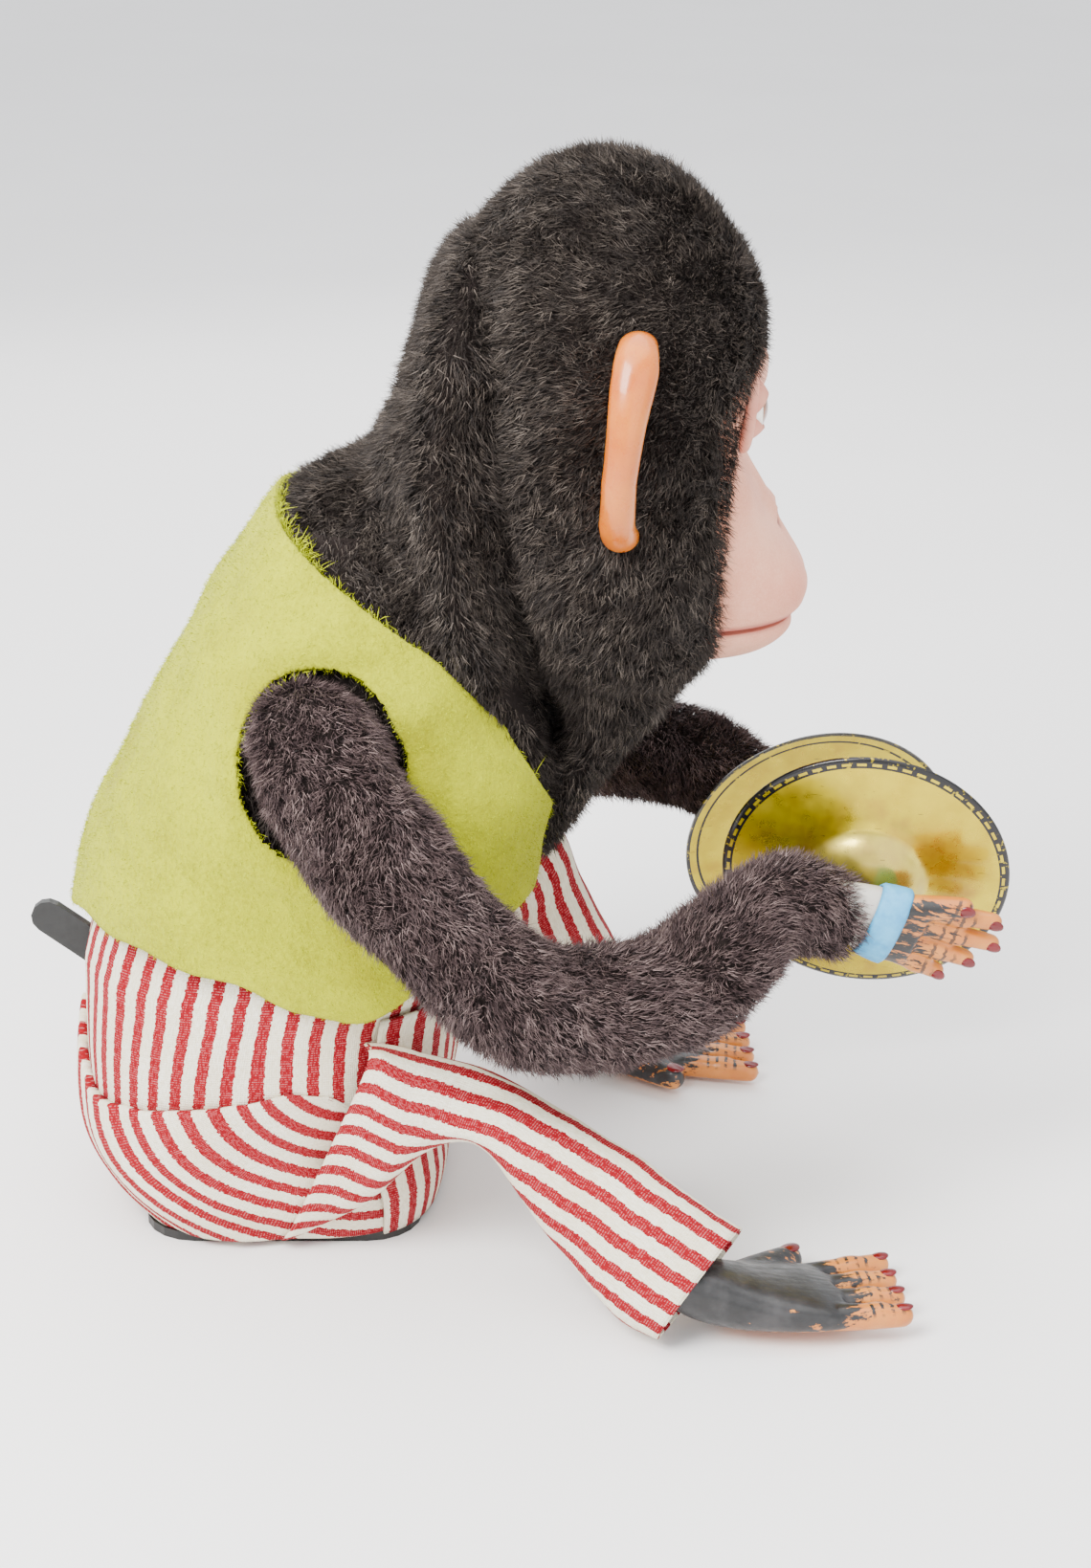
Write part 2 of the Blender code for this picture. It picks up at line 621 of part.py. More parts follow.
def build_arm(side, spine, cymbal_centre):
    sign = -1 if side == "right" else 1
    x, y = sign * SHOULDER[0], SHOULDER[1]
    shaft = rod("arm_pivot_" + side, (x, y, FRAME_TOP + GAP), (x, y, 142.5), PIVOT_RADIUS, "steel", 12)
    lever_end = x - sign * ARM_LEVER
    lever = box("arm_lever_bar_" + side, (min(x, lever_end - 2.2), y - 2.2, LEVER_Z - 1),
                (max(x, lever_end + 2.2), y + 2.2, LEVER_Z + 1), "steel")
    join(shaft, lever)
    pin_ends = ((lever_end, y, LEVER_Z - 0.5), (lever_end, y, LEVER_Z + 5))
    join(shaft, rod("arm_lever_pin_" + side, *pin_ends, 1.2, "steel", 12))

    place = cymbal_place(cymbal_centre, side)
    points = [(x + sign * (PIVOT_RADIUS + 0.7), y, ARM_EXIT_Z)]
    points += [station[:3] for station in spine[:-1]]
    arm_wire = wire("arm_wire_" + side, points, 1.3, "steel", steps=2)

    outer = limb_rings(spine, steps=1)
    inner = limb_rings(spine, inset=3.2, steps=1)
    sleeve = shell("arm_plush_" + side, outer, inner, "fur_arm", smooth=60)

    cymbal = turned("cymbal_" + side, cymbal_profile(), place, "brass")
    top = 2.5 + BOSS_HEIGHT
    rivet = rod("cymbal_rivet_" + side, place @ Vector((0, 0, (top - 2.2) * MM)) / MM,
                place @ Vector((0, 0, (top + 1.2) * MM)) / MM, 1.6, "steel", 12)
    join(rivet, rod("rivet_head_" + side, place @ Vector((0, 0, (top - 2.4) * MM)) / MM,
                    place @ Vector((0, 0, (top - CYMBAL_SHEET - 0.5) * MM)) / MM, 3.4, "steel", 14))
    hand, strap = build_hand(side, place)
    pieces = (shaft, arm_wire, sleeve, cymbal, rivet, hand, strap)
    hang(pivot("joint_arm_" + side, (x, y, ARM_EXIT_Z)), *pieces)


def build_shoulders():
    """Plates that hold the upright arm pivots above the motor frame."""
    half = SHOULDER[0] + 3
    lower_z, upper_z = FRAME_TOP + GAP, 138.5
    for name, z, rear in (("shoulder_plate_lower", lower_z, 16), ("shoulder_plate_upper", upper_z, 12.4)):
        plate = box(name, (-half, SHOULDER[1] - 5, z), (half, rear, z + PLATE), "tin")
        for sign in (-1, 1):
            x = sign * SHOULDER[0]
            cut(plate, rod(f"{name}_hole_{sign}", (x, SHOULDER[1], z - 5), (x, SHOULDER[1], z + 6),
                           PIVOT_RADIUS + GAP, "tin", 14))
            cut(plate, box(f"{name}_corner_{sign}", (min(sign * 18.5, sign * 40), 3, z - 3),
                           (max(sign * 18.5, sign * 40), 30, z + 4), "tin"))
            if z == upper_z:
                join(plate, box(f"shoulder_leg_{sign}", (sign * 15 - 3, 11, lower_z + PLATE + GAP),
                                (sign * 15 + 3, 12.4, z + PLATE), "tin"))
            elif sign < 0:
                cut(plate, box("follower_slot", (-11, -1.5, z - 3), (0, 12, z + 4), "tin"))


def build_yoke():
    lever_end = SHOULDER[0] - ARM_LEVER
    y = SHOULDER[1]
    low, high = (-lever_end - 5, y - 3.4, LEVER_Z + 1.4), (lever_end + 5, y + 3.4, LEVER_Z + 3.4)
    yoke = box("clap_yoke", low, high, "steel")
    for sign in (-1, 1):
        x = sign * lever_end
        low, high = (x - 2.4, y - 1.5, LEVER_Z), (x + 2.4, y + 1.5, LEVER_Z + 6)
        cut(yoke, box(f"yoke_slot_{sign}", low, high, "steel"))
    join(yoke, box("yoke_follower", (-8, 5.2, 84), (-3, 6.6, LEVER_Z + 3.4), "steel"))
    join(yoke, box("yoke_web", (-8, y + 1.5, LEVER_Z + 1.4), (-3, 6.6, LEVER_Z + 3.4), "steel"))
    hang(pivot("joint_yoke", (0, y, LEVER_Z)), yoke)


# ---------------------------------------------------------------- head
def head_ring(height, inset):
    return body_ring(HEAD, height, inset, power=2.15)


def face_rings(table, inset, back):
    rings = []
    for height, front, half in table:
        depth = FACE_CENTRE - front
        ring = []
        for step in range(ROUND):
            angle = 2 * math.pi * step / ROUND
            y = math.sin(angle)
            reach = (depth - inset) * y if y < 0 else back * y
            across = math.copysign(abs(math.cos(angle)) ** 0.85, math.cos(angle))
            ring.append(vec((max(half - inset, 2) * across, FACE_CENTRE + reach, height)))
        rings.append(ring)
    return rings


def build_head():
    heights = [row[0] for row in HEAD if row[0] > 137]
    neck = pivot("joint_neck", (0, *NOD_PIVOT))
    head = pivot("joint_head", (0, POST_Y, 180), neck)
    jaw_pivot = pivot("joint_jaw", (0, *JAW_PIVOT), head)
    eyes_pivot = pivot("joint_eyes", (0, -92, 203), head)

    outer = [head_ring(z, 0) for z in heights]
    inner = [head_ring(z, 3.2) for z in heights[:-1]] + [head_ring(heights[-1] - 2.6, 4.4)]
    plush = shell("head_plush", outer, inner, "fur_head", domed_top=True, rise=(2.5, 2.0))
    cut(plush, box("face_opening", (-33.1, -140, 110), (33.1, -98.3, 216.7), "fur_head"))
    slope = Matrix.Translation(vec((0, -62, 169))) @ Matrix.Rotation(math.radians(56), 4, "X")
    neck_tool = prism("neck_opening", rounded_rectangle(70, 70, 5), -60, 0, slope, "fur_head")
    cut(plush, neck_tool)

    skull_heights = [z for z in heights if 150 < z <= 250]
    outer = [head_ring(z, 3.8) for z in skull_heights]
    inner = [head_ring(z, 5.4) for z in skull_heights[:-1]] + [head_ring(skull_heights[-1] - 1.6, 6.2)]
    skull = shell("skull_shell", outer, inner, "plastic", domed_top=True, rise=(-0.6, -0.4))
    cut(skull, box("skull_face_opening", (-33, -140, 140), (33, -94, 215), "plastic"))
    slope_skull = Matrix.Translation(vec((0, -63, 172))) @ Matrix.Rotation(math.radians(52), 4, "X")
    cut(skull, prism("skull_neck_opening", rounded_rectangle(70, 70, 5), -60, 0, slope_skull, "plastic"))

    mask = shell("face_mask", face_rings(MASK, 0, 6), face_rings(MASK[:-1], 2.4, 10) +
                 face_rings([(MASK[-1][0] - 2.2, MASK[-1][1] + 1.5, MASK[-1][2] - 1)], 2.4, 10),
                 "face", domed_top=True, rise=(1.0, 0.4))
    cut(mask, box("mask_back", (-50, -99.2, 130), (50, -60, 230), "face"))
    for sign in (-1, 1):
        ends = ((sign * EYE_X, -135, EYE_Z), (sign * EYE_X, -90, EYE_Z))
        cut(mask, rod(f"eye_hole_{sign}", *ends, EYE_RADIUS + EYE_GAP, "face", 20))

    teeth = box("upper_teeth", (-9.5, -118.5, 152.2), (9.5, -115.5, 157.5), "white", 0.6)
    bracket = box("teeth_bracket", (-4, -117, 155), (4, -94, 157), "plastic")
    join(teeth, bracket)

    for side, sign in (("right", -1), ("left", 1)):
        hang(head, build_ear(side, sign))

    socket = rod("head_socket", (0, POST_Y, 182), (0, POST_Y, 206), 5, "plastic", 20)
    join(socket, box("socket_arm", (-6, POST_Y - 1, 200), (6, POST_Y + 20, 205), "plastic"))
    cut(socket, rod("socket_bore", (0, POST_Y, 170), (0, POST_Y, 202), 2.5 + GAP, "plastic", 16))
    hang(head, plush, skull, mask, teeth, socket)

    line = [(0, *NOD_PIVOT), (0, -44, 155), (0, -58, 161), (0, POST_Y + 2, 167)]
    line += [(0, POST_Y, height) for height in (174, 184, 194)]
    post = wire("neck_post_bar", line, 2.5, "steel", steps=1, sides=10)
    collar = rod("neck_post", (-5, *NOD_PIVOT), (5, *NOD_PIVOT), 4.2, "steel", 18)
    join(collar, post)
    cut(collar, rod("nod_bore", (-9, *NOD_PIVOT), (9, *NOD_PIVOT), AXLE_RADIUS + GAP, "steel", 14))
    hang(neck, collar)

    spring_points = []
    turns, low, high, per_turn = 3, 175.8, 181.0, 8
    for step in range(turns * per_turn + 1):
        angle = 2 * math.pi * step / per_turn
        lift = low + (high - low) * step / (turns * per_turn)
        spring_points.append((4.1 * math.cos(angle), POST_Y + 4.1 * math.sin(angle), lift))
    spring = wire("head_spring", spring_points, 0.5, "steel", steps=1, sides=5)
    hang(head, spring)

    jaw = solid("jaw", face_rings(JAW, 0, 1), "face", bulge=1.0)
    hang(jaw_pivot, jaw)

    carriage = box("eye_carriage", (-21, -93.5, 200.5), (21, -91.5, 204.5), "plastic")
    for side, sign in (("right", -1), ("left", 1)):
        eye = ball("eye_" + side, (sign * EYE_X, EYE_Y, EYE_Z), (EYE_RADIUS,) * 3, "white", 8, 14)
        stem_ends = ((sign * EYE_X, -104, EYE_Z), (sign * EYE_X, -93.8, EYE_Z))
        join(eye, rod("eye_stem_" + side, *stem_ends, 2, "white", 12))
        hang(eyes_pivot, eye)
    hang(eyes_pivot, carriage)


def build_ear(side, sign):
    """Thin vinyl ear standing out from the side of the head."""
    rings = []
    for step in range(9):
        part = step / 8
        height = 180 + 46 * part
        swell = math.sin(math.pi * (0.08 + 0.84 * part)) ** 0.7
        out = sign * (48.2 + 5.2 * swell)
        centre = (out, -82 - 3.0 * math.cos(math.pi * part * 1.6), height)
        rings.append(superellipse(centre, 0.5 + 4.4 * swell, 1.8 + 3.6 * swell, 14))
    return solid("ear_" + side, rings, "vinyl", bulge=1.2, smooth=60)


# ---------------------------------------------------------------- neck mount
def build_neck_mount():
    """Bracket from the frame up to the nodding pivot, with its pin."""
    y, z = NOD_PIVOT
    bracket = box("neck_bracket", (-8, y - 5, z - 12), (8, y + 5, z + 4), "tin")
    cut(bracket, box("neck_bracket_slot", (-5.4, y - 20, z - 6.5), (5.4, y + 20, z + 10), "tin"))
    join(bracket, box("neck_bracket_arm", (-6, y - 4, 140.2), (6, SHOULDER[1] + 5, 142.2), "tin"))
    join(bracket, rod("neck_pin", (-9, y, z), (9, y, z), AXLE_RADIUS, "tin", 14))


# ---------------------------------------------------------------- clothes and plush
def half_space(name, through, tilt_degrees, above=True):
    """Large slab that lies above or below a plane tilted about X."""
    place = Matrix.Translation(vec(through)) @ Matrix.Rotation(math.radians(tilt_degrees), 4, "X")
    low, high = (0, 160) if above else (-160, 0)
    return prism(name, rounded_rectangle(120, 120, 5), low, high, place, "felt")


def arm_hole(name, sign, half_y, half_z):
    return ball(name, (sign * 50, -15, 130), (24, half_y, half_z), "felt", 8, 16)


def build_clothes():
    vest_heights = (71, 88, 104, 122, 140, 158, 172, 186)
    vest = shell("vest", [body_ring(BODY, z, 0) for z in vest_heights],
                 [body_ring(BODY, z, 1.8) for z in vest_heights], "felt")
    cut(vest, half_space("vest_neck", (0, -4, 180), 41.3))
    cut(vest, box("vest_front", (-15, -100, 60), (15, -40, 200), "felt"))

    plush_heights = (66, 88, 104, 122, 140, 158, 172, 186)
    offsets = [(4.6 if z < 90 else 2.1) for z in plush_heights]
    torso = shell("torso_plush", [body_ring(BODY, z, inset) for z, inset in zip(plush_heights, offsets)],
                  [body_ring(BODY, z, inset + 2.6) for z, inset in zip(plush_heights, offsets)], "fur_head")
    cut(torso, half_space("torso_neck", (0, -4, 184), 41.3))

    waist = [row[0] for row in BODY if row[0] < 60] + [65, 70, 86]
    waist_inset = [(2.3 if z >= 70 else 0.0) for z in waist]
    trousers = shell("trousers", [body_ring(BODY, z, inset) for z, inset in zip(waist, waist_inset)],
                     [body_ring(BODY, z, inset + 1.6) for z, inset in zip(waist, waist_inset)], "stripe")
    cut(trousers, box("lever_slot", (-2.4, 30, 44), (2.4, 60, 72), "stripe"))

    for side, sign in (("right", -1), ("left", 1)):
        cut(vest, arm_hole("vest_arm_hole_" + side, sign, 22.5, 25))
        cut(torso, arm_hole("torso_arm_hole_" + side, sign, 17, 19))


def build_neck_plush():
    """Plush collar that turns from the tilted body opening to the steeper opening of the head."""
    rings = {}
    for label, inset in (("outer", 0.0), ("inner", 2.6)):
        rings[label] = []
        for y, z, half_x, half_y, tilt in NECK:
            turn = Matrix.Translation(vec((0, y, z))) @ Matrix.Rotation(math.radians(tilt), 4, "X")
            flat = superellipse((0, 0, 0), half_x - inset, half_y - inset, ROUND, 2.2)
            rings[label].append([turn @ point for point in flat])
    shell("neck_plush", rings["outer"], rings["inner"], "fur_head", smooth=60)


def build_leg(side, spine, foot):
    sign = -1 if side == "right" else 1
    hip_cut = solid("hip_cut_" + side, limb_rings(spine, inset=-0.7, steps=1), "stripe", bulge=12)
    cut(bpy.data.objects["trousers"], hip_cut)
    outer = limb_rings(spine, steps=1)
    inner = limb_rings(spine, inset=1.6, steps=1)
    shell("trouser_leg_" + side, outer, inner, "stripe", smooth=60)

    points = [(sign * 18, -31, BOX_TOP + 5), *(station[:3] for station in spine[:-1])]
    wire("leg_wire_" + side, points, 1.6, "steel", steps=2)
    build_foot(side, *foot)


def build_foot(side, position, roll, yaw):
    """Vinyl foot with its heel in the cuff: sole block, four toes and an opposed big toe."""
    inward = 1 if side == "right" else -1
    place = (Matrix.Translation(vec(position)) @ Matrix.Rotation(math.radians(yaw), 4, "Z")
             @ Matrix.Rotation(math.radians(roll * inward), 4, "Y"))
    rings = []
    for along, half_wide, low, high in FOOT:
        ring = []
        for step in range(14):
            angle = 2 * math.pi * step / 14
            lift = (low + high) / 2 + (high - low) / 2 * math.sin(angle)
            ring.append(place @ vec((half_wide * math.cos(angle), along, lift)))
        rings.append(ring)
    foot = solid("foot_" + side, rings, "vinyl", bulge=1.0, smooth=50)
    for index in range(4):
        offset = TOE_PITCH * (index - 1.5) * inward
        root = (offset, TOE_ROOT, TOE_RADIUS + 0.6)
        tip = (offset * 1.16, TOE_TIP - TOE_STAGGER * index, TOE_RADIUS + 0.3)
        join(foot, capsule(f"toe_{side}_{index}", place, root, tip, TOE_RADIUS, "vinyl"))
    root, tip, radius = BIG_TOE
    root, tip = (root[0] * inward, *root[1:]), (tip[0] * inward, *tip[1:])
    join(foot, capsule(f"big_toe_{side}", place, root, tip, radius, "vinyl"))


def build_switch():
    y, z = SWITCH_PIVOT
    body = box("switch_body", (-6, y - 6, BOX_TOP + GAP), (6, y + 4, z + 4), "black", 0.6)
    cut(body, box("switch_slot", (-1.7, y - 12, z - 6), (1.7, y + 12, z + 12), "black"))
    join(body, rod("switch_pin", (-7, y, z), (7, y, z), 1.0, "black", 12))
    tip_y, tip_z = LEVER_TIP
    length = math.hypot(tip_y - y, tip_z - z)
    outline = []
    for centre, start in ((0.0, 90), (length - LEVER_HALF, -90)):
        for step in range(7):
            angle = math.radians(start + 30 * step)
            outline.append((centre + LEVER_HALF * math.cos(angle), LEVER_HALF * math.sin(angle)))
    tilt = math.atan2(tip_z - z, tip_y - y)
    half = LEVER_THICK / 2
    lever = prism("switch_lever", outline, -half, half, facing_x(0, y, z, tilt), "black")
    cut(lever, rod("lever_bore", (-9, y, z), (9, y, z), 1.0 + GAP, "black", 12))
    hang(pivot("joint_switch", (0, y, z)), lever)


def build():
    for existing in list(bpy.data.objects):
        bpy.data.objects.remove(existing, do_unlink=True)
    build_base()
    build_drive()
    build_shoulders()
    build_yoke()
    build_arm("right", SLEEVE_RIGHT, CYMBAL_RIGHT)
    build_arm("left", SLEEVE_LEFT, CYMBAL_LEFT)
    build_neck_mount()
    build_head()
    build_clothes()
    build_neck_plush()
    build_leg("right", LEG_RIGHT, FOOT_RIGHT)
    build_leg("left", LEG_LEFT, FOOT_LEFT)
    build_switch()


build()
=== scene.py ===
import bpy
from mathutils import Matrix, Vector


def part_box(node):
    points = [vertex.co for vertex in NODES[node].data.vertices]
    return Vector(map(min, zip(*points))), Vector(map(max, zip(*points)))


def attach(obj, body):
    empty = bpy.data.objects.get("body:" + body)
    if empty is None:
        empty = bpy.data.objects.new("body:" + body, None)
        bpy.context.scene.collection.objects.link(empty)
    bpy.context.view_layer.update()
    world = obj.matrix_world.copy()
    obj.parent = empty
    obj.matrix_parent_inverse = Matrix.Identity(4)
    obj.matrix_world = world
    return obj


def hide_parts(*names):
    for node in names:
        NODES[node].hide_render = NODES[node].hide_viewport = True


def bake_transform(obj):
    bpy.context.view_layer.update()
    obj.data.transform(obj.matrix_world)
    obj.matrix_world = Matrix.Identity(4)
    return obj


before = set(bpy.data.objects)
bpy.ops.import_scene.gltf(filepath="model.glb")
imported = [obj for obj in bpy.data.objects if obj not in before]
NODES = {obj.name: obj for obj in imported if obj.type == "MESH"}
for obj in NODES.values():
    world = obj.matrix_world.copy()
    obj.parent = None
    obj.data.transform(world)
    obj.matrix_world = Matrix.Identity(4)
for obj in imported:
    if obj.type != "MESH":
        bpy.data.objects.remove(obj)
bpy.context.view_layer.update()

"""Looks of the cymbal-playing toy monkey: fur, felt, striped cotton, flocking, printed tin and painted vinyl.

The CAD model is the frame. It stands on z = 0, faces -Y, and its right side is -X.
Tables and calls below are in millimetres; MM turns them into the frame's metres.
"""
import math

import bmesh
import bpy
import numpy as np
from mathutils import Matrix, Vector

MM = 0.001

# ---------------------------------------------------------------- forms (mm)
# Level sections of the clothed body: height, back y, front y, half width.
BODY = (
    (-4, 31, -36, 39), (3, 35, -38, 41), (12, 41, -39, 43), (24, 47, -38, 44), (40, 49, -41, 46),
    (58, 49, -45, 47), (74, 48, -52, 47), (88, 45.5, -60, 48), (104, 40, -66, 48), (122, 31, -66, 48),
    (140, 21, -61, 46), (158, 11, -55, 40), (172, 1, -50, 33), (186, -8, -44, 26), (196, -14, -40, 20),
)
# Level sections of the stuffed head under its fur: height, back y, front y, half width.
HEAD = (
    (141, -72, -100, 27), (146, -63, -104, 34), (154, -56, -107, 39), (165, -50, -109, 42),
    (178, -47, -110, 43.5), (196, -46, -111.5, 43.5), (212, -45, -113, 42.5), (226, -45, -111.5, 38.5),
    (238, -49, -105, 32),
    (247, -56, -97, 23.5), (252.5, -63, -89, 14), (255, -71, -81, 5),
)
# Tilted sections of the plush hood, from inside the vest to the roll round its mouth:
# back (y, z), front (y, z), half width, and how far the sides are drawn back.
HOOD = (
    ((-2, 165), (-60, 88), 36, 0), ((-5, 175), (-64, 101), 35, 0), ((-11, 181.5), (-66.5, 109), 35.5, 0),
    ((-18, 184.5), (-67, 114), 36.5, 1), ((-25, 188.5), (-66.5, 118), 38, 3),
    ((-30, 197), (-66, 121), 40.5, 5), ((-34, 206), (-65, 124), 43, 7),
    ((-37.5, 216), (-64, 127), 44.5, 9), ((-41.5, 227), (-63, 129), 44.5, 10),
    ((-46, 236), (-62, 132), 42.5, 10), ((-51, 240), (-62, 136), 39, 9), ((-55, 237), (-63, 141), 35, 7),
    ((-57, 228), (-65, 148), 31, 5),
)
# Level sections of the throat, from the chest up to the chin: height, back y, front y, half width.
THROAT = (
    (94, -50, -66, 15), (106, -58, -73, 15), (116, -69, -80, 15.5), (124, -72, -86, 18), (134, -69, -94, 23),
    (144, -62, -98, 27.5), (154, -58, -101, 32),
)
# Flocked face: height, front y, half width; and the jaw below the mouth.
MASK = (
    (152.0, -123.6, 24.0), (154.5, -125.3, 25.5), (160, -125.6, 27), (168, -121.6, 29), (179, -115, 30),
    (190, -110.6, 31), (199, -113.4, 32), (207, -116.6, 30), (214, -114, 23), (218, -111, 15),
)
JAW = (
    (139.4, -108, 6), (141, -114.5, 11.5), (144, -119.5, 17.5), (147.5, -122.6, 21.5), (150.6, -122.4, 22.6),
)
FACE_CENTRE = -98.0

# Centre lines of the limbs: x, y, z, radius.
SLEEVE_RIGHT = (
    (-43, -11, 138, 13), (-52, -14, 134, 15.5), (-60, -20, 123, 16.2), (-66, -32, 107, 16),
    (-67, -47, 90, 15), (-66, -61, 79, 15.5), (-63, -76, 75.5, 14.6), (-57, -94, 76.5, 14.2),
    (-50, -106, 84, 14.2),
    (-42, -116, 90.5, 13.6), (-36.5, -127, 87.5, 12.2), (-35, -135, 83.5, 10.2),
)
SLEEVE_LEFT = (
    (43, -11, 138, 13), (52, -14, 134, 15.5), (60, -20, 124, 16), (66, -32, 112, 15.6),
    (66, -46, 102.5, 14.8), (62, -60, 97, 14.5), (57, -75, 95, 14.5), (52, -89, 94.5, 14),
    (45, -101, 94, 13.6), (38, -110, 91.5, 12.8), (33.5, -120, 86, 12), (31.5, -128, 81.5, 10.4),
)
MOST_STRANDS = 97000            # in one piece
FUR_DEPTH = 3.2                 # skin lies this far under the visible outline of the fur

NECKLINE = ((-66, 104), (-54, 133), (-39, 151), (-16, 168), (-4, 177), (12, 183))   # y, z up the neckline
# Height of the hem by distance round the body from the middle of the back.
HEM = ((0, 76), (14, 79.5), (26, 82), (38, 82), (52, 80.5), (72, 74), (90, 67.5), (106, 65), (120, 71),
       (134, 84), (150, 88))
ARMHOLE = (-14.5, 127.0, 19.0, 23.5)     # y, z, half depth, half height
VEST_EDGE = 15.5                # |x| of the two front edges
FELT = 1.6
COTTON = 0.7
STRIPE = 6.3                    # one red and one white stripe

CYMBAL_TILT = math.radians(16.0)
CYMBAL_YAW = math.radians(8.0)
HAND_DROOP = math.radians(18.0)
PALM_HEIGHT = 15.4
PALM = ((-16, 5.0, 4.4), (-8, 7.0, 5.0), (0, 9.0, 5.0), (8, 10.2, 4.8), (14, 9.6, 3.8))
FINGERS = ((7.2, 29.0, 2.4), (2.6, 31.0, 0.8), (-2.4, 27.5, -1.0), (-7.0, 22.5, -2.8))

CAMERA_LENGTH = 3100 / 1639     # focal length for each unit of the picture's longer side
CAMERA_RISE = math.radians(22)
CAMERA_REACH = 720
CAMERA_TARGET = (0, -64.6, 105)
FLOOR_HALF = 4000.0
WEFT = 0.62                     # from one cross thread of the cotton to the next


def srgb(red, green, blue):
    """Linear colour of an 0-255 display colour."""
    levels = []
    for value in (red, green, blue):
        part = value / 255
        levels.append(part / 12.92 if part <= 0.04045 else ((part + 0.055) / 1.055) ** 2.4)
    return tuple(levels)


# ---------------------------------------------------------------- materials
class Shader:
    """A Principled material with short calls for its nodes."""

    def __init__(self, name, **constants):
        self.material = bpy.data.materials.new(name)
        self.material.use_nodes = True
        self.tree = self.material.node_tree
        self.surface = self.tree.nodes["Principled BSDF"]
        for socket, value in constants.items():
            self.set(self.surface, socket.replace("_", " "), value)

    def set(self, node, socket, value):
        target = node.inputs[socket]
        if isinstance(value, bpy.types.NodeSocket):
            self.tree.links.new(value, target)
        elif isinstance(value, tuple) and len(value) == 3 and target.type == "RGBA":
            target.default_value = (*value, 1.0)
        else:
            target.default_value = value

    def add(self, kind, sockets=None, **settings):
        node = self.tree.nodes.new("ShaderNode" + kind)
        for key, value in settings.items():
            setattr(node, key, value)
        for socket, value in (sockets or {}).items():
            self.set(node, socket, value)
        return node

    def place(self):
        """Object coordinates in millimetres."""
        coordinates = self.add("TexCoord").outputs["Object"]
        return self.add("VectorMath", {0: coordinates, "Scale": 1 / MM}, operation="SCALE").outputs[0]

    def noise(self, vector, size, detail=3.0, rough=0.55):
        """Noise whose features are about size millimetres."""
        return self.add("TexNoise", {"Vector": vector, "Scale": 1 / size, "Detail": detail,
                                     "Roughness": rough}).outputs["Fac"]

    def stretch(self, vector, scale):
        return self.add("VectorMath", {0: vector, 1: scale}, operation="MULTIPLY").outputs[0]

    def math(self, operation, first, second=0.0, third=0.0):
        return self.add("Math", {0: first, 1: second, 2: third}, operation=operation).outputs[0]

    def times(self, first, second):
        return self.math("MULTIPLY", first, second)

    def plus(self, first, second):
        return self.math("ADD", first, second)

    def spread(self, value, low, high, to_low=0.0, to_high=1.0):
        return self.add("MapRange", {"Value": value, "From Min": low, "From Max": high, "To Min": to_low,
                                     "To Max": to_high}).outputs["Result"]

    def mix(self, factor, first, second):
        node = self.add("Mix", data_type="RGBA")
        for socket, value in ((node.inputs[0], factor), (node.inputs[6], first), (node.inputs[7], second)):
            if isinstance(value, bpy.types.NodeSocket):
                self.tree.links.new(value, socket)
            elif isinstance(value, tuple):
                socket.default_value = (*value, 1.0)
            else:
                socket.default_value = value
        return node.outputs[2]

    def paint(self, colour):
        self.set(self.surface, "Base Color", colour)

    def rough(self, value):
        self.set(self.surface, "Roughness", value)

    def bump(self, height, strength, distance):
        """Surface relief; distance is in millimetres."""
        node = self.add("Bump", {"Height": height, "Strength": strength, "Distance": distance * MM})
        self.set(self.surface, "Normal", node.outputs["Normal"])

    def split(self, vector):
        return self.add("SeparateXYZ", {"Vector": vector}).outputs


def felt_material():
    s = Shader("vest_felt_cloth", Roughness=0.95, Sheen_Weight=0.08, Sheen_Roughness=0.5,
               Specular_IOR_Level=0.15)
    p = s.place()
    cloud = s.spread(s.noise(p, 16, 4), 0.35, 0.65)
    fibre = s.spread(s.noise(p, 1.1, 5, 0.7), 0.36, 0.64)
    soil = s.spread(s.noise(p, 34, 3), 0.56, 0.72, 0.0, 0.45)
    base = s.mix(cloud, srgb(152, 154, 0), srgb(174, 177, 0))
    base = s.mix(s.times(fibre, 0.5), base, srgb(190, 198, 8))
    base = s.mix(soil, base, srgb(134, 128, 2))
    s.paint(base)
    lumps = s.plus(s.noise(p, 0.8, 4, 0.7), s.times(s.noise(p, 4.5, 3), 1.4))
    s.bump(lumps, 0.75, 0.9)
    return s.material


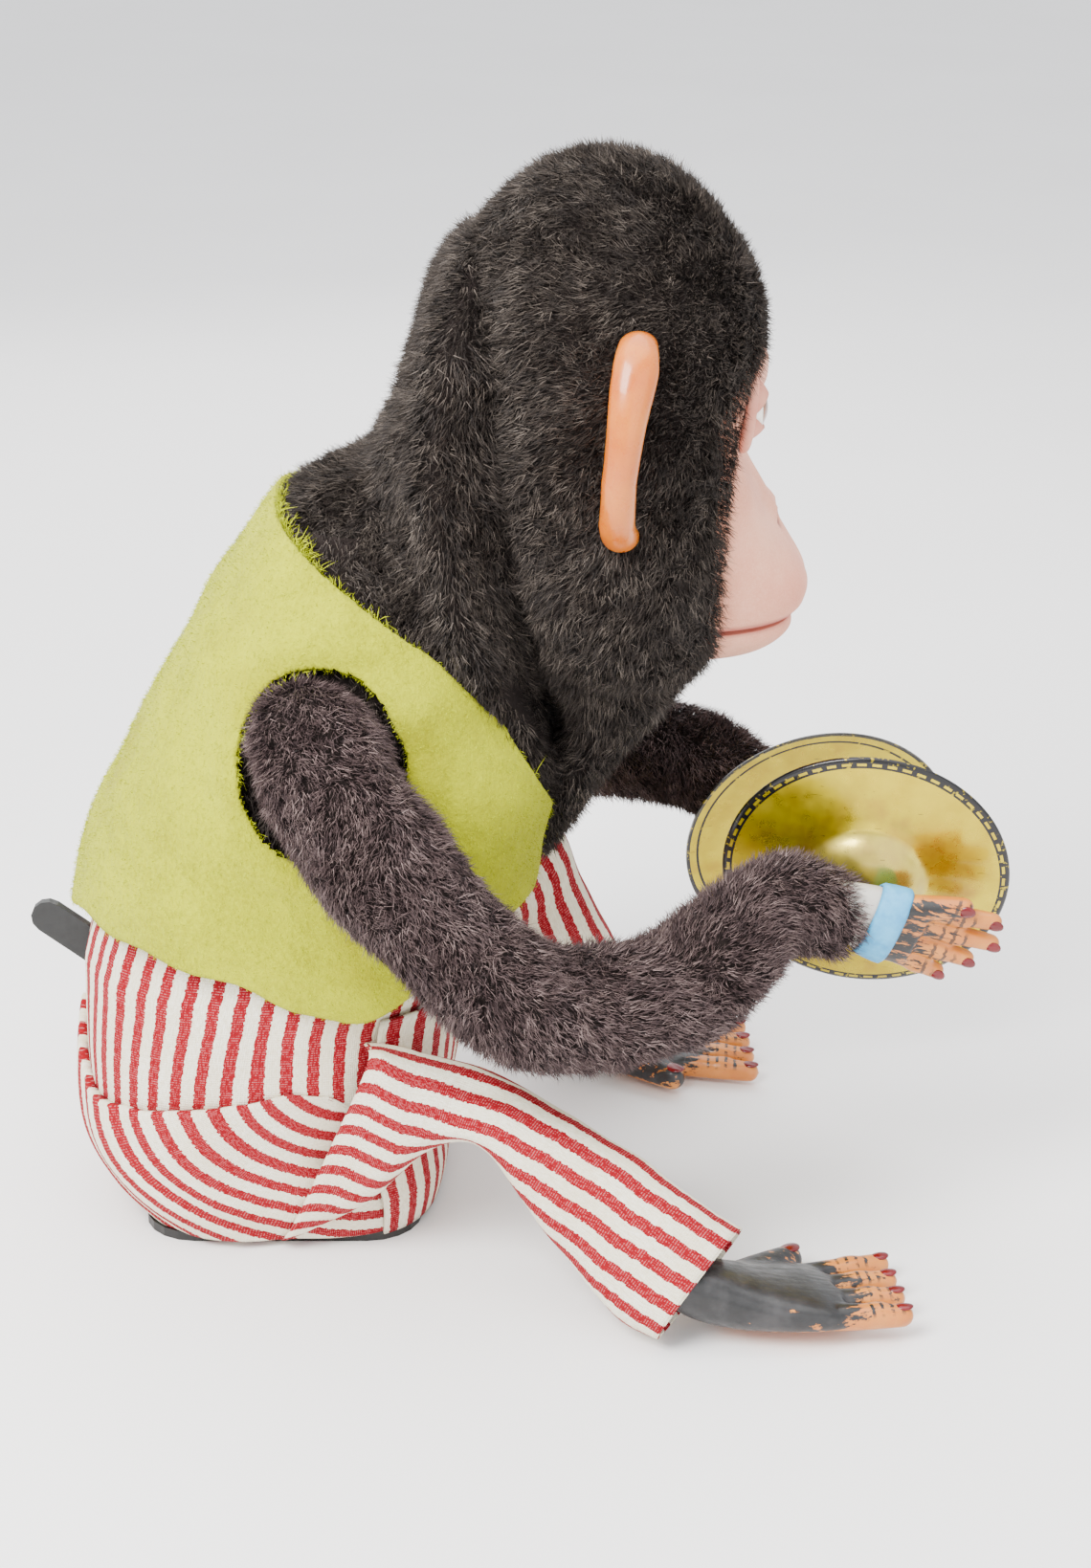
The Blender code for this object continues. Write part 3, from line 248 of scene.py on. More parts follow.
def striped_cotton():
    """Woven stripes by the Cloth UV map: u runs across the stripes and v along them, in millimetres."""
    s = Shader("striped_cotton", Roughness=0.88, Specular_IOR_Level=0.2)
    across, along, _ = s.split(s.add("UVMap", uv_map="Cloth").outputs["UV"])
    p = s.place()
    rib = s.math("FLOOR", s.math("DIVIDE", along, WEFT))
    jog = s.add("TexWhiteNoise", {"W": rib}, noise_dimensions="1D").outputs["Value"]
    jog = s.times(s.math("SUBTRACT", jog, 0.5), 0.42)
    position = s.math("FRACT", s.math("DIVIDE", s.plus(across, jog), STRIPE))
    red = s.math("COMPARE", position, 0.5, 0.235)
    weft = s.math("FRACT", s.math("DIVIDE", along, WEFT))
    warp = s.math("FRACT", s.math("DIVIDE", across, 0.5))
    drawn = {"X": s.times(across, 2.2), "Y": s.times(along, 0.6)}
    slub = s.noise(s.add("CombineXYZ", drawn).outputs[0], 1.0, 2)
    fleck = s.times(s.math("LESS_THAN", weft, 0.34), s.math("GREATER_THAN", slub, 0.50))
    worn = s.spread(s.noise(p, 22, 3), 0.4, 0.7)
    cream = s.mix(s.spread(slub, 0.35, 0.68), srgb(214, 206, 182), srgb(236, 231, 216))
    cream = s.mix(s.times(worn, 0.5), cream, srgb(206, 192, 160))
    crimson = s.mix(s.spread(slub, 0.3, 0.7), srgb(122, 0, 16), srgb(148, 4, 24))
    crimson = s.mix(s.times(fleck, 0.26), crimson, srgb(222, 170, 168))
    s.paint(s.mix(red, cream, crimson))
    weave = s.plus(s.math("PINGPONG", weft, 0.5), s.math("PINGPONG", warp, 0.5))
    s.bump(weave, 0.5, 0.25)
    return s.material


def lining_material():
    """Woven backing that the pile stands on, painted near black as the shade deep in the pile."""
    s = Shader("plush_backing", Roughness=0.95, Specular_IOR_Level=0.1)
    p = s.place()
    s.paint(s.mix(s.noise(p, 2.0), srgb(24, 20, 19), srgb(44, 37, 35)))
    s.bump(s.noise(p, 0.7), 0.5, 0.4)
    return s.material


def flock_material():
    s = Shader("face_flocking", Roughness=0.85, Sheen_Weight=0.15, Sheen_Roughness=0.4,
               Subsurface_Weight=0.08, Subsurface_Scale=0.004)
    s.surface.inputs["Specular IOR Level"].default_value = 0.2
    p = s.place()
    x, y, z = s.split(p)
    base = s.mix(s.spread(s.noise(p, 14), 0.35, 0.7), srgb(208, 138, 112), srgb(222, 160, 134))
    base = s.mix(s.spread(s.noise(p, 0.5, 3, 0.7), 0.4, 0.7, 0.0, 0.35), base, srgb(234, 184, 162))
    rosy = s.times(s.spread(z, 172, 158, 0.0, 0.30), s.spread(y, -112, -122))
    base = s.mix(rosy, base, srgb(214, 132, 114))
    lip = s.math("SUBTRACT", 1.0, s.spread(s.math("ABSOLUTE", s.math("SUBTRACT", z, 151.5)), 0.5, 2.0))
    base = s.mix(s.times(lip, 0.8), base, srgb(150, 46, 44))
    for sign in (-1, 1):
        nostril = {0: p, 1: (sign * 4.6, -119.5, 173.6)}
        spot = s.add("VectorMath", nostril, operation="DISTANCE").outputs["Value"]
        base = s.mix(s.spread(spot, 2.6, 1.5), base, srgb(120, 62, 56))
    s.paint(base)
    s.bump(s.noise(p, 0.35, 3, 0.8), 0.35, 0.25)
    return s.material


def painted_vinyl(name):
    """Start of a hand's or foot's finish: the shader, its place, and the bare and painted colours."""
    s = Shader(name, Roughness=0.42, Coat_Weight=0.15, Subsurface_Weight=0.05, Subsurface_Scale=0.003)
    p = s.place()
    tan = s.mix(s.spread(s.noise(p, 9), 0.35, 0.7), srgb(184, 106, 30), srgb(202, 130, 50))
    tan = s.mix(s.spread(s.noise(p, 2.2), 0.5, 0.75, 0.0, 0.4), tan, srgb(186, 88, 38))
    ink = s.mix(s.spread(s.noise(p, 3.5), 0.35, 0.7), srgb(8, 8, 9), srgb(26, 25, 27))
    return s, p, tan, ink


def ear_material():
    s = Shader("ear_vinyl_skin", Roughness=0.28, Coat_Weight=0.25, Subsurface_Weight=0.15,
               Subsurface_Scale=0.004)
    p = s.place()
    base = s.mix(s.spread(s.noise(p, 12), 0.35, 0.7), srgb(184, 92, 8), srgb(200, 112, 20))
    base = s.mix(s.spread(s.noise(p, 0.5, 2), 0.56, 0.7, 0.0, 0.4), base, srgb(168, 72, 20))
    s.paint(base)
    s.rough(s.spread(s.noise(p, 3), 0.3, 0.7, 0.22, 0.38))
    s.bump(s.noise(p, 1.2), 0.12, 0.2)
    return s.material


def cymbal_material():
    """Printed tin about the cymbal's own axis: gold lacquer, dashed rim, scratches and brown tarnish."""
    s = Shader("cymbal_print", Metallic=0.8, Coat_Weight=0.4, Coat_Roughness=0.12)
    p = s.place()
    x, y, _ = s.split(p)
    radius = s.math("SQRT", s.plus(s.times(x, x), s.times(y, y)))
    turn = s.math("DIVIDE", s.math("ARCTAN2", y, x), 2 * math.pi)
    gold = s.mix(s.spread(s.noise(p, 10), 0.35, 0.7), srgb(178, 154, 2), srgb(198, 178, 18))
    tarnish = s.plus(s.noise(p, 15, 4, 0.55), s.spread(radius, 12, 34, 0.06, -0.04))
    tarnish = s.spread(tarnish, 0.54, 0.74)
    gold = s.mix(s.times(tarnish, 0.65), gold, srgb(150, 104, 38))
    boss = s.spread(radius, 15.5, 14.0)
    gold = s.mix(s.times(boss, 0.35), gold, srgb(196, 186, 110))
    scratch = s.noise(s.stretch(p, (0.25, 2.6, 1.0)), 1.3, 2)
    scratch = s.spread(scratch, 0.71, 0.74)
    fleck = s.spread(s.noise(p, 0.9, 2), 0.74, 0.78)
    gold = s.mix(s.times(s.math("MAXIMUM", scratch, fleck), 0.8), gold, srgb(60, 48, 30))
    dash = s.math("LESS_THAN", s.math("FRACT", s.times(turn, 58)), 0.62)
    band = s.times(s.math("COMPARE", radius, 32.5, 0.85),
                  s.math("SUBTRACT", 1.0, s.times(dash, s.math("COMPARE", radius, 32.55, 0.34))))
    outer = s.math("GREATER_THAN", radius, 33.1)
    black = s.math("MAXIMUM", outer, band)
    inside = s.math("LESS_THAN", s.split(s.add("TexCoord").outputs["Normal"])[2], 0.0)
    plain = s.math("MAXIMUM", s.math("GREATER_THAN", radius, 33.0), s.math("COMPARE", radius, 31.0, 0.3))
    black = s.plus(s.times(black, s.math("SUBTRACT", 1.0, inside)),
                   s.times(plain, inside))
    wear = s.spread(s.noise(p, 1.6, 3), 0.60, 0.66, 1.0, 0.25)
    s.paint(s.mix(s.times(black, wear), gold, srgb(34, 33, 34)))
    s.rough(s.spread(s.noise(p, 4), 0.3, 0.7, 0.22, 0.42))
    s.bump(s.noise(p, 6, 2), 0.15, 0.4)
    return s.material


def plain_material(name, light, dark, roughness, metallic=0.0, grain=1.5, stretch=(1, 1, 1), relief=0.15):
    """Any hard finish: two close shades, uneven gloss and a fine grain."""
    s = Shader(name, Metallic=metallic)
    p = s.stretch(s.place(), stretch)
    grey = s.spread(s.noise(p, grain * 5, 4), 0.35, 0.68)
    s.paint(s.mix(grey, dark, light))
    s.rough(s.spread(s.noise(p, grain, 3), 0.3, 0.7, roughness * 0.8, roughness * 1.25))
    s.bump(s.noise(p, grain * 0.6, 3), relief, 0.15)
    return s.material


def fur_materials(name, colours):
    """One plain strand finish for each colour."""
    made = []
    for index, colour in enumerate(colours):
        s = Shader(f"{name}_{index}", Roughness=0.6)
        s.surface.inputs["Specular IOR Level"].default_value = 0.18
        s.surface.inputs["Base Color"].default_value = (*srgb(*colour), 1.0)
        made.append(s.material)
    return made


# ---------------------------------------------------------------- mesh helpers
def mesh_piece(name, points, faces, finish=None, uvs=None, smooth=True, place=None):
    """Mesh from points in millimetres, with quads or triangles as index rows; uvs has one (u, v) a point."""
    points = np.asarray(points, float).reshape(-1, 3)
    faces = [tuple(int(i) for i in face) for face in faces]
    mesh = bpy.data.meshes.new(name)
    mesh.from_pydata((points * MM).tolist(), [], faces)
    if smooth:
        mesh.shade_smooth()
    if uvs is not None:
        layer = mesh.uv_layers.new(name="Cloth")
        corners = np.zeros(len(mesh.loops), int)
        mesh.loops.foreach_get("vertex_index", corners)
        layer.data.foreach_set("uv", np.asarray(uvs, float).reshape(-1, 2)[corners].ravel())
    piece = bpy.data.objects.new(name, mesh)
    bpy.context.scene.collection.objects.link(piece)
    if place is not None:
        piece.matrix_world = place
    if finish is not None:
        mesh.materials.append(finish)
    return piece


def shifted(faces, base):
    """Faces with every index moved up by base."""
    return [tuple(int(i) + base for i in face) for face in faces]


def grid_faces(rows, columns, wrap=False):
    faces = []
    for row in range(rows - 1):
        for column in range(columns if wrap else columns - 1):
            after = (column + 1) % columns
            faces.append((row * columns + column, row * columns + after,
                          (row + 1) * columns + after, (row + 1) * columns + column))
    return faces


def tube(name, rings, finish, close_start=True, close_end=True, uvs=None, place=None):
    """Loft through rings of points, its ends closed by fans where asked."""
    rings = np.asarray(rings, float)
    rows, columns = rings.shape[:2]
    points = list(rings.reshape(-1, 3))
    faces = grid_faces(rows, columns, wrap=True)
    for wanted, row, order in ((close_start, 0, -1), (close_end, rows - 1, 1)):
        if wanted:
            centre = len(points)
            points.append(rings[row].mean(0))
            for column in range(columns):
                pair = (row * columns + column, row * columns + (column + 1) % columns)
                faces.append((*pair[::order], centre))
    return mesh_piece(name, points, faces, finish, uvs, place=place)


def facing_out(piece, weld=False):
    """Turn all faces of a piece outwards, after joining points that coincide where weld is set."""
    data = bmesh.new()
    data.from_mesh(piece.data)
    if weld:
        bmesh.ops.remove_doubles(data, verts=data.verts, dist=1e-6)
    bmesh.ops.recalc_face_normals(data, faces=data.faces)
    data.to_mesh(piece.data)
    data.free()
    return piece


def bake_modifiers(piece):
    """Replace a piece's mesh by its shape with all modifiers applied."""
    graph = bpy.context.evaluated_depsgraph_get()
    mesh = bpy.data.meshes.new_from_object(piece.evaluated_get(graph))
    piece.modifiers.clear()
    piece.data = mesh
    return piece


def thicken(piece, thickness, offset=-1.0):
    modifier = piece.modifiers.new("thickness", "SOLIDIFY")
    modifier.thickness = thickness * MM
    modifier.offset = offset
    modifier.use_even_offset = False
    return bake_modifiers(piece)


def catmull(rows, count):
    """count smooth steps between each pair of rows of numbers."""
    rows = np.asarray(rows, float)
    padded = np.vstack([2 * rows[0] - rows[1], rows, 2 * rows[-1] - rows[-2]])
    out = []
    for index in range(len(rows) - 1):
        a, b, c, d = padded[index:index + 4]
        for t in np.arange(count) / count:
            out.append(0.5 * (2 * b + (c - a) * t + (2 * a - 5 * b + 4 * c - d) * t * t
                              + (3 * b - a - 3 * c + d) * t ** 3))
    out.append(rows[-1])
    return np.array(out)


def rounded(wave, power):
    """A sine or cosine bent towards a superellipse."""
    return np.sign(wave) * np.abs(wave) ** (2 / power)


BODY_FINE = catmull(BODY, 8)


def catmull_lookup(places, knots, values):
    """Smooth curve through (knot, value) pairs."""
    curve = catmull(np.stack([knots, values], -1), 12)
    return np.interp(places, curve[:, 0], curve[:, 1])


def body_point(angle, height, out=0.0):
    """Point on the clothed body at an angle about Z (90 degrees is the back), moved out by out."""
    angle, height = np.broadcast_arrays(np.asarray(angle, float), np.asarray(height, float))
    back, front, half = (np.interp(height, BODY_FINE[:, 0], BODY_FINE[:, k]) for k in (1, 2, 3))
    power = 2.4 + 0.7 * np.clip((60 - height) / 48, 0, 1)
    across, along = rounded(np.cos(angle), power), rounded(np.sin(angle), power)
    x = (half + out) * across
    y = (back + front) / 2 + ((back - front) / 2 + out) * along
    return np.stack([x, y, np.broadcast_to(height, x.shape)], -1)


def even_angles(start, end, count, height):
    """Angles from start to end that are evenly spaced along the body's outline at one height."""
    fine = np.linspace(start, end, 2000)
    line = body_point(fine, height)
    length = np.concatenate([[0], np.cumsum(np.linalg.norm(np.diff(line, axis=0), axis=1))])
    wanted = np.linspace(0, length[-1], count)
    return np.interp(wanted, length, fine), wanted


def ripple(points, seed, size, amount):
    """Smooth offsets of a few sine waves: one number a point."""
    waves = np.random.default_rng(seed)
    total = np.zeros(len(points))
    for _ in range(7):
        direction = waves.normal(size=3)
        direction /= np.linalg.norm(direction)
        wavelength = size * waves.uniform(0.7, 1.6)
        total += np.sin(points @ direction * 2 * math.pi / wavelength + waves.uniform(0, 6.28))
    return total / 7 * amount * 1.8


def limb_rings(spine, inset, sides, steps):
    """Round rings around a limb's centre line."""
    line = catmull(spine, steps)
    centres, radii = line[:, :3], line[:, 3] - inset
    ahead = np.gradient(centres, axis=0)
    ahead /= np.linalg.norm(ahead, axis=1)[:, None]
    side = np.cross(ahead[0], (0, 0, 1.0))
    angles = np.arange(sides) * 2 * math.pi / sides
    rings = []
    for centre, radius, direction in zip(centres, radii, ahead):
        side = side - direction * side.dot(direction)
        side /= np.linalg.norm(side)
        up = np.cross(direction, side)
        rings.append(centre + radius * (np.cos(angles)[:, None] * side + np.sin(angles)[:, None] * up))
    return np.array(rings), centres, ahead


# ---------------------------------------------------------------- fur
def triangles_of(pieces):
    """Corner points and corner normals of all triangles, in millimetres."""
    corners, normals = [], []
    for piece in pieces:
        mesh = piece.data
        mesh.calc_loop_triangles()
        points = np.zeros(len(mesh.vertices) * 3)
        mesh.vertices.foreach_get("co", points)
        turned = np.zeros(len(mesh.vertices) * 3)
        mesh.vertices.foreach_get("normal", turned)
        index = np.zeros(len(mesh.loop_triangles) * 3, int)
        mesh.loop_triangles.foreach_get("vertices", index)
        index = index.reshape(-1, 3)
        corners.append(points.reshape(-1, 3)[index] / MM)
        normals.append(turned.reshape(-1, 3)[index])
    return np.concatenate(corners), np.concatenate(normals)


def unit(vectors):
    return vectors / np.maximum(np.linalg.norm(vectors, axis=-1, keepdims=True), 1e-9)


def tufts(points, size, random):
    """One random vector and number for each small cell of space, so that strands in a tuft agree."""
    cells = np.floor((points + random.normal(scale=size * 0.18, size=points.shape)) / size).astype(int)
    _, which = np.unique(cells, axis=0, return_inverse=True)
    which = which.ravel()
    lean = random.normal(size=(which.max() + 1, 3))
    shade = random.uniform(size=which.max() + 1)
    return lean[which], shade[which]


def grow_fur(name, skins, density, length, comb, finishes, seed, keep=None, lift=0.8, width=0.34, stray=0.30):
    """Short bent strands, each two triangles, standing on the skins.

    density is strands a square millimetre; comb gives the lie at points; finishes are two dark root and
    further tip materials, the dark root ones being painted shade deep in the pile; keep drops strands by
    place and normal.
    """
    random = np.random.default_rng(seed)
    corners, normals = triangles_of(skins)
    edges = np.cross(corners[:, 1] - corners[:, 0], corners[:, 2] - corners[:, 0])
    area = np.linalg.norm(edges, axis=1) / 2
    count = int(area.sum() * density)
    chosen = random.choice(len(area), count, p=area / area.sum())
    a, b = random.uniform(size=(2, count, 1))
    flip = (a + b) > 1
    a, b = np.where(flip, 1 - a, a), np.where(flip, 1 - b, b)
    mix = np.concatenate([1 - a - b, a, b], axis=1)[:, :, None]
    roots = (corners[chosen] * mix).sum(1)
    outwards = unit((normals[chosen] * mix).sum(1))
    if keep is not None:
        kept = keep(roots, outwards)
        roots, outwards = roots[kept], outwards[kept]
    count = len(roots)

    lie = comb(roots)
    lie = unit(lie - outwards * (lie * outwards).sum(1, keepdims=True))
    lean, shade = tufts(roots, 2.6, random)
    swirl = np.stack([ripple(roots, seed + k, 17, 1.0) for k in range(3)], -1)
    wild = random.normal(size=(count, 3))
    grow = unit(outwards * (lift + 0.25) + lie * 0.35 + lean * 0.16 + wild * stray * 0.6)
    bend = unit(outwards * lift * 0.55 + lie * 0.75 + lean * 0.26 + swirl * 0.40 + wild * stray)
    size = length * random.uniform(0.7, 1.15, count)[:, None] * (1 + 0.12 * swirl[:, :1])
    middle = roots + grow * size * 0.5
    tips = middle + bend * size * 0.5
    flat = unit(np.cross(grow, random.normal(size=(count, 3)))) * (width / 2)
    points = np.stack([roots - outwards * 0.4, middle - flat, middle + flat, tips], 1).reshape(-1, 3)
    first = np.arange(count)[:, None] * 4
    faces = np.concatenate([first + (0, 2, 1), first + (1, 2, 3)], axis=1).reshape(-1, 3)

    # Lower half of each strand takes one of the two darkest colours: painted shade deep in the pile.
    root_painted_shade = (shade + random.normal(scale=0.3, size=count) > 0.5).astype(int)
    choice = shade * 0.45 + random.uniform(size=count) * 0.55
    tip_shade = 2 + np.minimum((choice * (len(finishes) - 2)).astype(int), len(finishes) - 3)
    slots = np.stack([root_painted_shade, tip_shade], 1).ravel()

    pieces = []
    for start in range(0, count, MOST_STRANDS):
        stop = min(start + MOST_STRANDS, count)
        mesh = bpy.data.meshes.new(name)
        mesh.vertices.add((stop - start) * 4)
        mesh.vertices.foreach_set("co", (points[start * 4:stop * 4] * MM).ravel())
        mesh.loops.add((stop - start) * 6)
        mesh.loops.foreach_set("vertex_index", faces[:(stop - start) * 2].ravel())
        mesh.polygons.add((stop - start) * 2)
        mesh.polygons.foreach_set("loop_start", np.arange((stop - start) * 2) * 3)
        mesh.polygons.foreach_set("material_index", slots[start * 2:stop * 2])
        for finish in finishes:
            mesh.materials.append(finish)
        mesh.update(calc_edges=True)
        mesh.validate()
        piece = bpy.data.objects.new(f"{name}_{len(pieces) + 1}", mesh)
        bpy.context.scene.collection.objects.link(piece)
        pieces.append(piece)
    return pieces


# In both fur palettes the first two colours are the strands' roots, painted shade deep in the pile; the rest
# are tip tones.
HEAD_FUR = fur_materials("head_fur_strand", (
    (17, 14, 13), (27, 23, 21), (35, 30, 28), (47, 41, 38), (64, 57, 52), (96, 87, 80),
))
ARM_FUR = fur_materials("arm_fur_strand", (
    (27, 20, 21), (40, 31, 32), (56, 44, 45), (73, 59, 59), (93, 77, 76), (124, 106, 103),
))
BACKING = lining_material()


# ---------------------------------------------------------------- head, hood and throat
def section_rings(table, sides, steps, power=2.15):
    """Level superellipse rings of a (height, back, front, half width) table."""
    angles = np.arange(sides) * 2 * math.pi / sides
    across, along = rounded(np.cos(angles), power), rounded(np.sin(angles), power)
    rings = []
    for height, back, front, half in catmull(table, steps):
        rings.append(np.stack([half * across, (back + front) / 2 + (back - front) / 2 * along,
                               np.full(sides, height)], -1))
    return np.array(rings)


def build_head_fur():
    rings = section_rings(HEAD, 72, 5)
    flat = rings.reshape(-1, 3)
    centre = np.array((0, -78, 200.0))
    flat += unit(flat - centre) * ripple(flat, 3, 40, 0.8)[:, None]
    x, y, z = flat.T
    oval = (np.abs(x) / 28) ** 2.4 + (np.abs(z - 176.5) / 40) ** 2.4
    flat[:, 1] = np.where((y < -90) & (oval < 1), np.maximum(y, -97.5 - 11 * oval ** 3), y)
    skin = facing_out(tube("head_skin", rings, BACKING))
    shell = rings.copy()
    shell = centre + (shell - centre) * 0.955
    shell[..., 1] = np.maximum(shell[..., 1], -95.5)
    skull = facing_out(tube("skull_moulding", shell, plain_material("skull_plastic_skin", srgb(120, 84, 58),
                                                                    srgb(92, 62, 42), 0.45, 0.0, 2.0)))
    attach(skull, "head")
    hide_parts("skull_shell")

    def outside_face(points, normals):
        x, y, z = points.T
        oval = (np.abs(x) / 26.5) ** 2.4 + (np.abs(z - 176.5) / 38.5) ** 2.4
        crease = (y > np.interp(z, (140, 165, 200, 236, 240), (-68, -62, -55, -50, -30)))
        return ((y > -92) | (oval > 1)) & ~crease

    def comb(points):
        x, y, z = points.T
        fall = np.clip((225 - z) / 60, 0.2, 1)
        return np.stack([0.15 * np.sign(x), 0.9 - 0.5 * fall, -0.9 * fall], -1)

    fur = grow_fur("head_fur", [skin], 6.4, 5.0, comb, HEAD_FUR, 11, outside_face, width=0.21)
    for piece in (skin, *fur):
        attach(piece, "head")
    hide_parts("head_plush")


def build_hood():
    """Plush from inside the vest up the nape to the fold behind the head."""
    rows = [(*back, *front, half, drawn) for back, front, half, drawn in HOOD]
    angles = np.arange(88) * 2 * math.pi / 88
    power = 2.2
    across, along = rounded(np.cos(angles), power), rounded(np.sin(angles), power)
    rings = []
    for back_y, back_z, front_y, front_z, half, drawn in catmull(rows, 5):
        middle = np.array((0, (back_y + front_y) / 2, (back_z + front_z) / 2))
        deep = np.array((0, (back_y - front_y) / 2, (back_z - front_z) / 2))
        rings.append(middle + along[:, None] * deep + (across * half)[:, None] * np.array((1.0, 0, 0))
                     + (drawn * np.abs(across) ** 2)[:, None] * np.array((0, 1.0, 0)))
    rings = np.array(rings)
    flat = rings.reshape(-1, 3)
    flat += unit(flat - np.array((0, -50, 165.0))) * ripple(flat, 8, 30, 1.2)[:, None]
    skin = tube("hood_skin", rings, BACKING, close_start=False, close_end=False)
    facing_out(skin)
    skin = thicken(skin, 1.2)

    def shown(points, normals):
        away = unit(points - np.array((0, -58, 170.0)))
        return (normals * away).sum(1) > 0.12

    def comb(points):
        x, y, z = points.T
        return np.stack([0.25 * np.sign(x) * np.clip((190 - z) / 40, 0, 1), 0.25 + 0 * y, -1 + 0 * z], -1)

    fur = grow_fur("hood_fur", [skin], 6.2, 5.2, comb, HEAD_FUR, 12, shown, width=0.21)
    for piece in (skin, *fur):
        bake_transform(piece)
    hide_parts("neck_plush")


def build_throat():
    rings = section_rings(THROAT, 48, 5, 2.3)
    skin = facing_out(tube("throat_skin", rings, BACKING))

    def comb(points):
        return np.stack([0.2 * np.sign(points[:, 0]), -0.1 + 0 * points[:, 1], -1 + 0 * points[:, 2]], -1)

    fur = grow_fur("throat_fur", [skin], 5.6, 5.2, comb, HEAD_FUR, 13, width=0.22)
    for piece in (skin, *fur):
        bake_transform(piece)


def build_torso():
    """Plush body under the vest; fur only where the vest leaves it open."""
    angles = np.arange(96) * 2 * math.pi / 96
    heights = np.linspace(68, 176, 40)
    rings = [body_point(angles, np.full(96, height), -2.6 - 3.0 * (height < 90)) for height in heights]
    skin = facing_out(tube("torso_skin", np.array(rings), BACKING, close_start=False, close_end=False))
    skin = thicken(skin, 1.2)

    def shown(points, normals):
        x, y, z = points.T
        centre = np.array((0, (-60 + 40) / 2, 0))
        outside = (normals * (points - centre) * (1, 1, 0)).sum(1) > 0
        front = (np.abs(x) < VEST_EDGE + 4) & (y < -30)
        y0, z0, deep, tall = ARMHOLE
        arm = (((y - y0) / (deep + 3)) ** 2 + ((z - z0) / (tall + 3)) ** 2 < 1) & (np.abs(x) > 25)
        neck = z > np.interp(y, *np.array(NECKLINE).T) - 5
        return outside & (front | arm | neck)

    def comb(points):
        return np.stack([0 * points[:, 0], 0 * points[:, 1], -1 + 0 * points[:, 2]], -1)

    fur = grow_fur("torso_fur", [skin], 3.0, 4.6, comb, HEAD_FUR, 14, shown, lift=0.5, width=0.24)
    for piece in (skin, *fur):
        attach(piece, "root")
    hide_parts("torso_plush")


def build_sleeve(side, spine, seed):
    rings, centres, ahead = limb_rings(spine, FUR_DEPTH, 44, 9)
    flat = rings.reshape(-1, 3)
    middle = np.repeat(centres, 44, axis=0)
    flat += unit(flat - middle) * (ripple(flat, seed, 27, 1.7))[:, None]
    skin = facing_out(tube("sleeve_skin_" + side, rings, BACKING, close_start=False, close_end=False))
    skin = thicken(skin, 1.0)

    def nearest(points):
        return np.argmin(((points[:, None, :] - centres[None]) ** 2).sum(2), axis=1)

    def comb(points):
        return ahead[nearest(points)] * 0.8 + np.array((0, 0, -0.35))

    def shown(points, normals):
        return (normals * (points - centres[nearest(points)])).sum(1) > 0

    fur = grow_fur("sleeve_fur_" + side, [skin], 5.8, 4.7, comb, ARM_FUR, seed, shown, width=0.22)
    for piece in (skin, *fur):
        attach(piece, side + "_arm")
    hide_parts("arm_plush_" + side)


# ---------------------------------------------------------------- vest
def open_hole(grid_points, faces, inside, snap):
    """Drop faces inside a hole and pull the remaining edge points onto its rim."""
    centres = grid_points[np.array(faces)].mean(1)
    keep = ~inside(centres)
    kept = [face for face, stays in zip(faces, keep) if stays]
    used = np.zeros(len(grid_points), bool)
    used[np.array(kept).ravel()] = True
    hit = used & inside(grid_points)
    grid_points[hit] = snap(grid_points[hit])
    order = np.cumsum(used) - 1
    return grid_points[used], [tuple(order[list(face)]) for face in kept]


